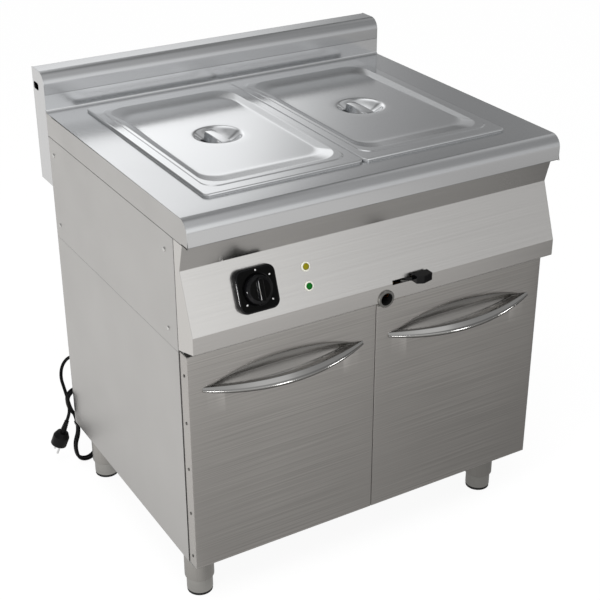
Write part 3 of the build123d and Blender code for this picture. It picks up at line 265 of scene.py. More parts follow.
@dataclass(frozen=True)
class TwoStuffs(Finish):
    """Metal and a dull dark stuff in one piece."""

    metal: str
    dull: str
    metal_rough: float
    dull_rough: float

    def split(self, tree: NodeTree, mask: Node, metal: Colour | Node) -> dict:
        """Set the metal where a mask is one and the dull stuff where it is zero.

        Args:
            tree: the material's node tree.
            mask: one on the metal, zero on the dull stuff.
            metal: colour of the metal.

        Returns:
            Inputs of the shader.
        """
        colour = add_node(tree, "Mix", {"Factor": mask, "A": linear(self.dull), "B": metal}, data_type="RGBA")
        rough = add_node(tree, "MapRange", {
            "Value": mask, "To Min": self.dull_rough, "To Max": self.metal_rough})
        return {"Base Color": colour, "Metallic": mask, "Roughness": rough}


@dataclass(frozen=True)
class LevellingFoot(TwoStuffs):
    """Turned steel insert on a black rubber pad: metal above the pad's height, rubber below it."""

    pad_height: float
    ring_repeats: Point = (20.0, 20.0, 700.0)
    ring_detail: float = 3.0
    ring_tone: float = 0.85
    ring_relief: float = 0.3
    ring_depth: float = 0.02

    def shader_inputs(self, tree: NodeTree) -> dict:
        """Split the two stuffs by height, with turning rings on the steel.

        Args:
            tree: the material's node tree.

        Returns:
            Inputs of the shader.
        """
        place = add_node(tree, "TexCoord").outputs["Object"]
        height = add_node(tree, "SeparateXYZ", {"Vector": place}).outputs["Z"]
        mask = add_node(tree, "Math", {0: height, 1: self.pad_height * MM}, operation="GREATER_THAN")
        rings = add_node(tree, "Mapping", {"Scale": self.ring_repeats, "Vector": place})
        lines = add_node(tree, "TexNoise", {"Scale": 1.0, "Detail": self.ring_detail, "Vector": rings})
        steel = add_node(tree, "Mix", {
            "Factor": lines, "A": linear(self.metal, self.ring_tone), "B": linear(self.metal)},
            data_type="RGBA")
        bump = add_node(tree, "Bump", {
            "Strength": self.ring_relief, "Distance": self.ring_depth * MM, "Height": lines})
        return {**self.split(tree, mask, steel), "Normal": bump}


@dataclass(frozen=True)
class BoredTube(TwoStuffs):
    """Plated tube whose bore is painted black as the shade inside it: metal outside the bore's radius about
    an axis along Y.
    """

    bore: float
    height: float
    edge: float = 0.5

    def shader_inputs(self, tree: NodeTree) -> dict:
        """Split plate and the bore's painted shade by the distance from the axis at that height.

        Args:
            tree: the material's node tree.

        Returns:
            Inputs of the shader.
        """
        place = add_node(tree, "TexCoord").outputs["Object"]
        axis = (0.0, 0.0, self.height * MM)
        apart = add_node(tree, "VectorMath", {0: place, 1: axis}, operation="SUBTRACT")
        flat = add_node(tree, "VectorMath", {0: apart, 1: (1.0, 0.0, 1.0)}, operation="MULTIPLY")
        away = add_node(tree, "VectorMath", {0: flat}, operation="LENGTH")
        mask = add_node(tree, "Math", {0: away, 1: self.bore * MM}, operation="GREATER_THAN")
        rounded = add_node(tree, "Bevel", {"Radius": self.edge * MM}, samples=BEVEL_SAMPLES)
        return {**self.split(tree, mask, linear(self.metal)), "Normal": rounded}


# Sheet of the sides, brushed front to back: soft even grey, with painted shade along its seams
SIDE_STEEL = SheetSteel("stainless_sheet_brushed_upright", "#CCCBC9", 0.38, Grain.ALONG_Y, 0.03, 0.008,
                        edge=1.6, seam=0.6)
# Door sheet, brushed across: plain long lines over a soft grey
DOOR_STEEL = SheetSteel("stainless_sheet_brushed_across", "#D0CDC9", 0.33, Grain.ALONG_X, 0.3, 0.004,
                        edge=3.0)
# Control panel, satin: paler, with faint lines and painted shade along its folds
PANEL_STEEL = SheetSteel("stainless_sheet_satin_panel", "#D8D6D3", 0.24, Grain.ALONG_X, 0.07, 0.006, 0.03,
                         edge=1.2, seam=0.45)
# Worktop plate, fine satin: no lines to be seen, and soft mirror images of lids and splashback
TOP_STEEL = SheetSteel("stainless_plate_fine_satin", "#D6D7D8", 0.2, Grain.ALL_WAYS, 0.01, 0.0, 0.02)
# Splashback plate, satin: faint lines across
SPLASH_STEEL = SheetSteel("stainless_plate_satin", "#C4C5C6", 0.22, Grain.ALONG_X, 0.05, 0.002, 0.02)
# Pressed lids and pans, bright rolled: clear mirror images, bright along each bend
LID_STEEL = SheetSteel("stainless_pressing_bright", "#DEDFE0", 0.13, Grain.ALL_WAYS, 0.01, 0.0, 0.02)
# Tube of the legs, satin: light grey with faint upright lines
LEG_STEEL = SheetSteel("stainless_tube_satin", "#B8B6B2", 0.3, Grain.ALONG_Z, 0.08, 0.01)
# Chrome plate of hinge and plug pins, polished: nearly a mirror
CHROME = SheetSteel("chrome_plate_polished", "#E6E7E8", 0.09, Grain.ALL_WAYS, 0.01, 0.003, 0.03, 0.4)
# Bow bar, polished: a greyish mirror that shows lamps as white spots
BAR_STEEL = SheetSteel("stainless_bar_polished", "#A09F9D", 0.11, Grain.ALL_WAYS, 0.01, 0.0, 0.02, 0.4)
# Underside of the bar: painted dark and dull as the shade beneath it
BAR_UNDERSIDE_PAINTED_SHADE = SheetSteel("stainless_bar_underside_painted_shade", "#5A5957", 0.4, Grain.ALL_WAYS, 0.1, 0.01)
# Scoop, drawn from the door's sheet: smoother, with the door's lines across, and a colour a little darker
# than the door's as painted shade in the recess
SCOOP_STEEL = SheetSteel("stainless_sheet_drawn_painted_shade", "#C2C0BD", 0.22, Grain.ALONG_X, 0.2, 0.003)
# Screws, turned: small bright heads
SCREW_STEEL = SheetSteel("stainless_screw_turned", "#DADAD8", 0.25, Grain.ALL_WAYS, 0.06, 0.01, 0.05, 0.4)
# Rivets, bare steel: dull dark dots
RIVET_STEEL = SheetSteel("steel_rivet_dark", "#6E6C69", 0.42, Grain.ALL_WAYS, 0.1, 0.01, 0.05, 0.3)
# Sheet inside, galvanised: blotchy dull grey
GALVANISED = SheetSteel("galvanised_sheet_inside", "#A9AAA9", 0.45, Grain.ALL_WAYS, 0.2, 0.02, 0.1)
# Heating tube, oxidised: dark brownish grey
ELEMENT = SheetSteel("incoloy_tube_oxidised", "#5E5A55", 0.45, Grain.ALL_WAYS, 0.25, 0.02, 0.1)
# Brass, forged: warm yellow and slightly rough
BRASS = SheetSteel("brass_forged", "#C9A45C", 0.32, Grain.ALL_WAYS, 0.15, 0.02)
# Phenolic of knob, bezel and lever, polished: deep black with thin highlights along the edges
BLACK_GLOSS = Moulded("phenolic_moulding_polished", "#060607", 0.08, 3.0, 0.004, sheen=0.2)
# Faces of knob and bezel, spark eroded: black with hardly any gloss
BLACK_FACE = Moulded("phenolic_moulding_spark_eroded", "#050505", 0.3, 1.2, 0.02, sheen=0.05)
# Nylon of plug, gland and small parts inside, moulded: black with a soft sheen
BLACK_PLAIN = Moulded("nylon_moulding_black", "#0A0A0B", 0.32, 1.5, 0.03, sheen=0.2)
# Rubber sheath of the cord, extruded: dull black
CORD_RUBBER = Moulded("cord_sheath_rubber", "#080809", 0.42, 1.2, 0.04, sheen=0.15)
# Polycarbonate rings of the lamps, moulded: smooth ivory
RING_PLASTIC = Moulded("polycarbonate_ring_ivory", "#E4E4D8", 0.22, 2.0, 0.01)
# Acrylic lenses, moulded: deep colour under a small highlight
AMBER = Moulded("acrylic_lens_amber", "#857E0C", 0.10, 2.2, 0.06, 1.49, sheen=0.15)
GREEN = Moulded("acrylic_lens_green", "#056018", 0.10, 2.2, 0.06, 1.49, sheen=0.15)
# Printed marks: flat white
MARK_WHITE = Moulded("printed_mark_white", "#DADADA", 0.4, 1.0, 0.005)
# Spout, plated outside, with painted shade in its bore: bright ring round a black mouth
SPOUT_BORE_PAINTED_SHADE = BoredTube("chrome_tube_bore_painted_shade", "#8F8E8B", "#0C0C0C", 0.1, 0.8, 12.7, 618.7)
# Foot, turned steel on a rubber pad: ringed grey over a black band
FOOT = LevellingFoot("turned_insert_on_rubber_pad", "#C4C3BF", "#101011", 0.34, 0.55, 6.0)


@functools.cache
def stock(finish: Finish) -> Material:
    """Make a finish's material at the first call and hand out the same one later."""
    return finish.material()


@dataclass
class Patch:
    """Grid of surface points, rows by columns by 3, in millimetres."""

    points: np.ndarray
    wrap: bool = False

    def faces(self) -> np.ndarray:
        """Quads between neighbouring rows and columns, by index arithmetic.

        Returns:
            Array of faces by 4 vertex numbers; the last column joins the first where the patch wraps.
        """
        rows, columns = self.points.shape[:2]
        row = np.arange(rows - 1)[:, None] * columns
        column = np.arange(columns if self.wrap else columns - 1)[None, :]
        after = (column + 1) % columns
        corners = (row + column, row + after, row + columns + after, row + columns + column)
        return np.stack(corners, axis=-1).reshape(-1, 4)


def eased(points: Rows | list[Pair], radii: Row, steps: int) -> np.ndarray:
    """Round a polyline's inner corners with circular arcs.

    Each arc leaves its corner's two runs at radius times the tangent of half the turn, and is the rational
    quadratic curve through the corner with the cosine of half the turn as its weight, which is a circle.

    Args:
        points: the polyline's points, of any dimension.
        radii: radius at each inner point.
        steps: points on each arc.

    Returns:
        The rounded line's points.
    """
    line = np.asarray(points, float)
    before = line[1:-1] - line[:-2]
    after = line[2:] - line[1:-1]
    inward = before / np.linalg.norm(before, axis=1, keepdims=True)
    outward = after / np.linalg.norm(after, axis=1, keepdims=True)
    turn = np.arccos(np.clip((inward * outward).sum(axis=1), -1.0, 1.0))
    reach = (np.asarray(radii, float) * np.tan(turn / 2))[:, None]
    start = (line[1:-1] - inward * reach)[:, None]
    corner = line[1:-1][:, None]
    end = (line[1:-1] + outward * reach)[:, None]
    weight = np.cos(turn / 2)[:, None, None]
    share = np.linspace(0.0, 1.0, steps)[None, :, None]
    first = (1 - share) ** 2
    pull = 2 * share * (1 - share) * weight
    last = share ** 2
    arc = (first * start + pull * corner + last * end) / (first + pull + last)
    return np.concatenate([line[:1], arc.reshape(-1, line.shape[1]), line[-1:]])


def corner_angles(steps: int) -> np.ndarray:
    """Angles round a full turn as four quarters of that many points, each with both its ends."""
    return (np.linspace(0.0, QUARTER, steps)[None, :] + np.arange(4)[:, None] * QUARTER).ravel()


def rounded_loops(half_x: Numbers, half_y: Numbers, radius: Numbers, steps: int = CORNER_STEPS) -> np.ndarray:
    """Rounded rectangles, one a row: each corner is a quarter circle about a centre set in by the radius.

    Args:
        half_x: half size along X of each row.
        half_y: half size along Y of each row.
        radius: corner radius of each row.
        steps: points on each corner.

    Returns:
        Array of rows by 4 times steps by 2, anticlockwise.
    """
    angle = corner_angles(steps)
    sign_x = np.repeat([1.0, -1.0, -1.0, 1.0], steps)
    sign_y = np.repeat([1.0, 1.0, -1.0, -1.0], steps)
    width, length, round_ = (np.asarray(value, float)[:, None] for value in (half_x, half_y, radius))
    x = sign_x * (width - round_) + round_ * np.cos(angle)
    y = sign_y * (length - round_) + round_ * np.sin(angle)
    return np.stack([x, y], axis=-1)


def raised(loops: np.ndarray, height: Numbers | float) -> np.ndarray:
    """Give flat loops a height each, or one for all, as their third coordinate."""
    rise = np.broadcast_to(np.asarray(height, float).reshape(-1, 1, 1), loops.shape[:2] + (1,))
    return np.concatenate([loops, rise], axis=-1)


def turned(profile: np.ndarray, angle: np.ndarray | int) -> np.ndarray:
    """Carry a profile of radius and height round an axis.

    Args:
        profile: rows of radius and height.
        angle: angles that it is carried to, or how many of them go evenly round.

    Returns:
        Grid of rows by angles by 3, with the axis along the third coordinate.
    """
    if isinstance(angle, int):
        angle = np.linspace(0.0, 2 * math.pi, angle, endpoint=False)
    radius = profile[:, :1]
    height = np.broadcast_to(profile[:, 1:2], (len(profile), len(angle)))
    return np.stack([radius * np.cos(angle), radius * np.sin(angle), height], axis=-1)


def carried_across(profile: np.ndarray, half: float) -> np.ndarray:
    """Carry a profile of y and z straight across from one side to the other.

    Args:
        profile: rows of y and z.
        half: half the way across.

    Returns:
        Grid of profile points by 2 by 3.
    """
    grid = np.empty((len(profile), 2, 3))
    grid[..., 0] = (-half, half)
    grid[..., 1:] = profile[:, None]
    return grid


def capped(grid: np.ndarray) -> np.ndarray:
    """Close a tube's two ends at the middles of its first and last loops."""
    first, last = (np.broadcast_to(loop.mean(axis=0), loop.shape)[None] for loop in (grid[0], grid[-1]))
    return np.concatenate([first, grid, last])


def set_in_scene(name: str, data: ID) -> Object:
    """Make an object and link it to the scene.

    Args:
        name: its name.
        data: its mesh, curve, light or camera.

    Returns:
        The object.
    """
    made = bpy.data.objects.new(name, data)
    bpy.context.scene.collection.objects.link(made)
    return made


def face_rows(mesh: Mesh, attribute: str) -> np.ndarray:
    """Read one attribute of all of a mesh's faces.

    Args:
        mesh: the mesh.
        attribute: "center" or "normal".

    Returns:
        Array of faces by 3.
    """
    rows = np.empty(len(mesh.polygons) * 3)
    mesh.polygons.foreach_get(attribute, rows)
    return rows.reshape(-1, 3)


def make_piece(name: str, patches: list[Patch], finish: Finish, body: str,
               nodes: tuple[str, ...] = (), sharp: float = 32.0) -> Object:
    """Join patches into one mesh, turn its faces outwards and set it in the frame.

    They point outwards where the sum over the faces of area times offset from the common middle along the
    normal is above 0.

    Args:
        name: the piece's name.
        patches: grids of points in millimetres.
        finish: its finish.
        body: body that it rides on.
        nodes: nodes that it stands for.
        sharp: angle in degrees above which an edge shades sharp.

    Returns:
        The piece's object.
    """
    sizes = np.array([patch.points.shape[0] * patch.points.shape[1] for patch in patches])
    starts = np.concatenate([[0], np.cumsum(sizes)[:-1]])
    points = np.concatenate([patch.points.reshape(-1, 3) for patch in patches]) * MM
    faces = np.concatenate([patch.faces() + start for patch, start in zip(patches, starts)])
    mesh = bpy.data.meshes.new(name)
    mesh.from_pydata(points.tolist(), [], faces.tolist())
    cleaner = bmesh.new()
    cleaner.from_mesh(mesh)
    bmesh.ops.remove_doubles(cleaner, verts=cleaner.verts, dist=WELD)
    bmesh.ops.dissolve_degenerate(cleaner, edges=cleaner.edges, dist=TINY)
    bmesh.ops.recalc_face_normals(cleaner, faces=cleaner.faces)
    cleaner.to_mesh(mesh)
    cleaner.free()
    areas = np.empty(len(mesh.polygons))
    mesh.polygons.foreach_get("area", areas)
    centres = face_rows(mesh, "center")
    centres = centres - np.average(centres, axis=0, weights=areas)
    flow = ((centres * face_rows(mesh, "normal")).sum(axis=1) * areas).sum()
    if flow < 0:
        mesh.flip_normals()
    mesh.shade_smooth()
    mesh.set_sharp_from_angle(angle=math.radians(sharp))
    mesh.materials.append(stock(finish))
    piece = set_in_scene(name, mesh)
    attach(piece, body)
    if nodes:
        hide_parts(*nodes)
    log.info("%s: %d faces on %s", name, len(mesh.polygons), body)
    return piece


def ease_edges(piece: Object, width: float, angle: float = 40.0) -> None:
    """Round a piece's sharp edges with a Bevel modifier; flat faces stay flat.

    Args:
        piece: the piece.
        width: width of the rounding.
        angle: angle in degrees above which an edge is rounded.
    """
    bevel = piece.modifiers.new("eased_edges", "BEVEL")
    bevel.width = width * MM
    bevel.segments = EDGE_SEGMENTS
    bevel.limit_method = "ANGLE"
    bevel.angle_limit = math.radians(angle)
    bevel.harden_normals = True


def thicken(piece: Object, sheet: float) -> None:
    """Give a sheet its thickness inwards from its outer face.

    Args:
        piece: the piece.
        sheet: its thickness.
    """
    wall = piece.modifiers.new("sheet", "SOLIDIFY")
    wall.thickness = sheet * MM
    wall.offset = -1.0


def second_finish(piece: Object, finish: Finish, attribute: str, chosen: Callable) -> None:
    """Give some faces a second finish.

    Args:
        piece: the piece.
        finish: its second finish.
        attribute: "normal" or "center", which the choice goes by.
        chosen: tells from the rows of that attribute which faces take the second finish.
    """
    mesh = piece.data
    mesh.materials.append(stock(finish))
    mesh.polygons.foreach_set("material_index", chosen(face_rows(mesh, attribute)).astype(int))


@dataclass
class Worktop:
    """Folded worktop with a rounded front edge, an opening for the pans and an upstand at the back."""

    half: float = 400.0
    front: float = -334.5
    back: float = 303.5
    top: float = 862.0
    skirt: float = 49.2
    hem: float = 2.5
    nose: float = 24.0
    nose_steps: int = 41
    nose_return: float = 22.0
    upstand: float = 35.0
    sheet: float = 2.0
    edge: float = 1.2
    opening_half: Pair = (314.75, 254.0)
    opening_corner: float = 15.0
    pan_y: float = 7.5
    front_run: float = 60.0
    back_run: float = 30.0
    cove: float = 5.0
    cove_steps: int = 21
    sideways: float = 0.9

    def front_profile(self) -> np.ndarray:
        """Front edge from its folded return up round the nose to the flat top.

        Returns:
            Rows of y and z.
        """
        low = self.top - self.skirt
        corners = [(self.front + self.nose_return, low), (self.front, low), (self.front, self.top),
                   (self.front + self.front_run, self.top)]
        return eased(corners, (self.hem, self.nose), self.nose_steps)

    def back_profile(self) -> np.ndarray:
        """Back edge from the flat top through a small cove up the upstand, as rows of y and z."""
        corners = [(self.back - self.back_run, self.top), (self.back, self.top),
                   (self.back, self.top + self.upstand)]
        return eased(corners, (self.cove,), self.cove_steps)

    def flat_top(self) -> Patch:
        """Flat ring from the outer rectangle to the rounded opening.

        Returns:
            Patch of two loops with matching corners.
        """
        low = self.front + self.front_run
        high = self.back - self.back_run
        half_x, half_y = self.opening_half
        loops = rounded_loops([self.half, half_x], [(high - low) / 2, half_y], [0.0, self.opening_corner])
        loops[..., 1] += np.array([(low + high) / 2, self.pan_y])[:, None]
        return Patch(raised(loops, self.top), wrap=True)

    def side_skirt(self, side: float) -> Patch:
        """Side face between the top's outline seen from the side and the skirt's lower edge.

        Args:
            side: -1 for the left, 1 for the right.

        Returns:
            Patch of two rows, the outline and its foot.
        """
        low = self.top - self.skirt
        outline = self.front_profile()[1:]
        outline = np.concatenate([outline[outline[:, 1] > low], self.back_profile()[1:-1]])
        foot = np.stack([outline[:, 0], np.full(len(outline), low)], axis=-1)
        rows = np.stack([outline, foot])
        x = np.full(rows.shape[:2] + (1,), side * self.half)
        return Patch(np.concatenate([x, rows], axis=-1))

    def build(self) -> None:
        """Build the worktop from its folds, and give it its sheet and eased edges."""
        front, back = (Patch(carried_across(profile, self.half))
                       for profile in (self.front_profile(), self.back_profile()))
        patches = [front, self.flat_top(), back, self.side_skirt(-1.0), self.side_skirt(1.0)]
        piece = make_piece("worktop_plate", patches, TOP_STEEL, "carcass", ("worktop",))
        second_finish(piece, SIDE_STEEL, "normal", lambda rows: np.abs(rows[:, 0]) > self.sideways)
        thicken(piece, self.sheet)
        ease_edges(piece, self.edge)


@dataclass
class Splashback:
    """Folded splashback box with a rounded upper front edge, set behind the worktop's upstand."""

    half: float = 398.8
    front: float = 303.5
    rear: float = 365.5
    bottom: float = 702.0
    seam: float = 897.0
    top: float = 942.0
    step: float = 2.2
    fold: float = 0.8
    nose: float = 24.0
    rear_fold: float = 4.0
    arc_steps: int = 41
    sheet: float = 1.2
    edge: float = 0.4

    def build(self) -> None:
        """Carry the profile of y and z across from side to side as a sheet; the end caps close it."""
        inner = self.front + self.step
        corners = [(inner, self.bottom), (inner, self.seam), (self.front, self.seam), (self.front, self.top),
                   (self.rear, self.top), (self.rear, self.bottom)]
        profile = eased(corners, (self.fold, self.fold, self.nose, self.rear_fold), self.arc_steps)
        wall = Patch(carried_across(profile, self.half).swapaxes(0, 1), True)
        piece = make_piece("splashback_box", [wall], SPLASH_STEEL, "carcass",
                           ("splashback",))
        thicken(piece, self.sheet)
        ease_edges(piece, self.edge)


@dataclass
class PressedLid:
    """Pressed lid: edge on the pan, stepped border, sunk panel, and a finger bowl with a strap in it."""

    name: str
    body: str
    x: float
    y: float = 7.5
    skirt_foot: float = 865.0
    flange: float = 867.6
    crest: float = 868.8
    panel: float = 864.4
    half_width: float = 163.0
    half_length: float = 265.5
    sheet: float = 1.0
    lean: float = 1.1
    bend_row: float = 0.8
    step_inset: float = 17.6
    step_run: float = 0.8
    crest_inset: float = 24.8
    crest_turn: float = 2.0
    crest_dip: float = 0.4
    border_radii: Row = (1.8, 0.4, 0.4, 0.8)
    border_steps: int = 5
    slope_straight: float = 12.0
    slope_fade: float = 7.0
    slope_steps: int = 16
    corner_insets: Row = (0.0, 5.0, 13.0)
    corner_radii: Row = (10.0, 11.0, 18.0, 42.0, 36.0)
    corner_steps: int = 11
    hem_inset: float = 5.0
    end_crest_inset: float = 37.0
    end_slope: float = 48.0
    panel_loops: int = 10
    bowl_radius: float = 46.0
    bowl_margin: float = 8.0
    bowl_depth: float = 20.0
    bowl_rim: float = 1.8
    bowl_loops: int = 30
    strap_half_length: float = 41.0
    strap_half_width: float = 10.0
    strap_thickness: float = 2.0
    strap_corner: float = 0.9
    strap_corner_steps: int = 5
    strap_steps: int = 41
    strap_sink: float = 5.2
    strap_rise: float = 1.0
    strap_taper: float = 0.35
    strap_even: float = 0.8

    def rim(self) -> tuple[np.ndarray, np.ndarray, np.ndarray]:
        """Rim from the lid's edge in to the sunk panel.

        The leaning edge and the stepped border are a line with rounded corners, and rows beside the bends
        keep the flats flat. The slope inside the crest falls straight and then fades into the panel on a
        parabola that meets both without a kink.

        Returns:
            Inset from the edge, height, and corner radius of each loop.
        """
        corners = [(0.0, self.skirt_foot), (self.lean, self.flange), (self.step_inset, self.flange),
                   (self.step_inset + self.step_run, self.crest), (self.crest_inset, self.crest),
                   (self.crest_inset + self.crest_turn, self.crest - self.crest_dip)]
        border = eased(corners, self.border_radii, self.border_steps)
        flats = np.array([
            (2 * self.lean + self.bend_row, self.flange), (self.step_inset - self.bend_row, self.flange),
            (self.step_inset + 2 * self.bend_row, self.crest),
            (self.crest_inset - self.bend_row, self.crest)])
        run = self.slope_straight + self.slope_fade
        half_fade = self.slope_fade / 2
        steep = (self.crest - self.panel) / (self.slope_straight + half_fade)
        along = np.linspace(self.crest_turn, run, self.slope_steps)
        left = np.clip(run - along, 0.0, self.slope_fade)
        straight = np.minimum(along, self.slope_straight)
        fall = steep * (straight + half_fade - left ** 2 / (2 * self.slope_fade))
        slope = np.stack([self.crest_inset + along, self.crest - fall], axis=-1)
        line = np.concatenate([border[:-1], flats, slope])
        inset, height = line[np.argsort(line[:, 0], kind="stable")].T
        stops = (*self.corner_insets, self.crest_inset, self.crest_inset + run)
        return inset, height, np.interp(inset, stops, self.corner_radii)

    def surface(self) -> np.ndarray:
        """Upper face from the edge to the bowl's middle.

        The rim is wider at the lid's two ends than along its sides. Its last loop becomes a circle by
        blending half sizes and corner radius, and the bowl sinks by a parabola whose rim is softened with a
        logarithm of one plus an exponential.

        Returns:
            Grid of loops by points by 3.
        """
        inset, height, radius = self.rim()
        end_stop = self.end_crest_inset + self.end_slope
        end_inset = np.interp(inset, [0.0, self.hem_inset, self.crest_inset, inset[-1]],
                              [0.0, self.hem_inset, self.end_crest_inset, end_stop])
        sizes = np.stack([self.half_width - inset, self.half_length - end_inset, radius])
        mouth = self.bowl_radius + self.bowl_margin
        blend = np.linspace(0.0, 1.0, self.panel_loops)[1:]
        blended = sizes[:, -1:] + (mouth - sizes[:, -1:]) * blend
        inner = np.linspace(mouth, 0.0, self.bowl_loops)[1:]
        sizes = np.concatenate([sizes, blended, np.broadcast_to(inner, (3, len(inner)))], axis=1)
        sink = self.bowl_depth * (1 - (inner / self.bowl_radius) ** 2)
        sunk = self.panel - self.bowl_rim * np.log1p(np.exp(sink / self.bowl_rim))
        z = np.concatenate([height, np.full(len(blend), self.panel), sunk])
        return raised(rounded_loops(*sizes, self.corner_steps), z)

    def strap(self) -> Patch:
        """Carry the strap's rounded section along its arch, a parabola of z over y, and close both ends.

        Returns:
            The strap's tube, narrower towards its ends.
        """
        along = np.linspace(-1.0, 1.0, self.strap_steps)
        section = rounded_loops([self.strap_half_width], [self.strap_thickness / 2], [self.strap_corner],
                                self.strap_corner_steps)[0]
        lift = self.panel - self.strap_sink + self.strap_rise * (1 - along ** 2)
        end = np.clip((np.abs(along) - self.strap_even) / (1 - self.strap_even), 0.0, 1.0)
        narrow = 1 - self.strap_taper * end ** 2
        grid = np.empty((len(along), len(section), 3))
        grid[..., 0] = self.x + section[:, 0] * narrow[:, None]
        grid[..., 1] = self.y + (along * self.strap_half_length)[:, None]
        grid[..., 2] = lift[:, None] + section[:, 1]
        return Patch(capped(grid), True)

    def build(self) -> None:
        """Build the lid as a closed shell of its upper face and its underside, and the strap."""
        upper = self.surface() + np.array([self.x, self.y, 0.0])
        under = upper[::-1].copy()
        under[..., 2] -= self.sheet
        shell = Patch(np.concatenate([upper, under, upper[:1]]), True)
        make_piece(self.name + "_pressing", [shell], LID_STEEL, self.body, (self.name,))
        make_piece(self.name + "_finger_strap", [self.strap()], LID_STEEL, self.body,
                   (self.name + "_strap",))


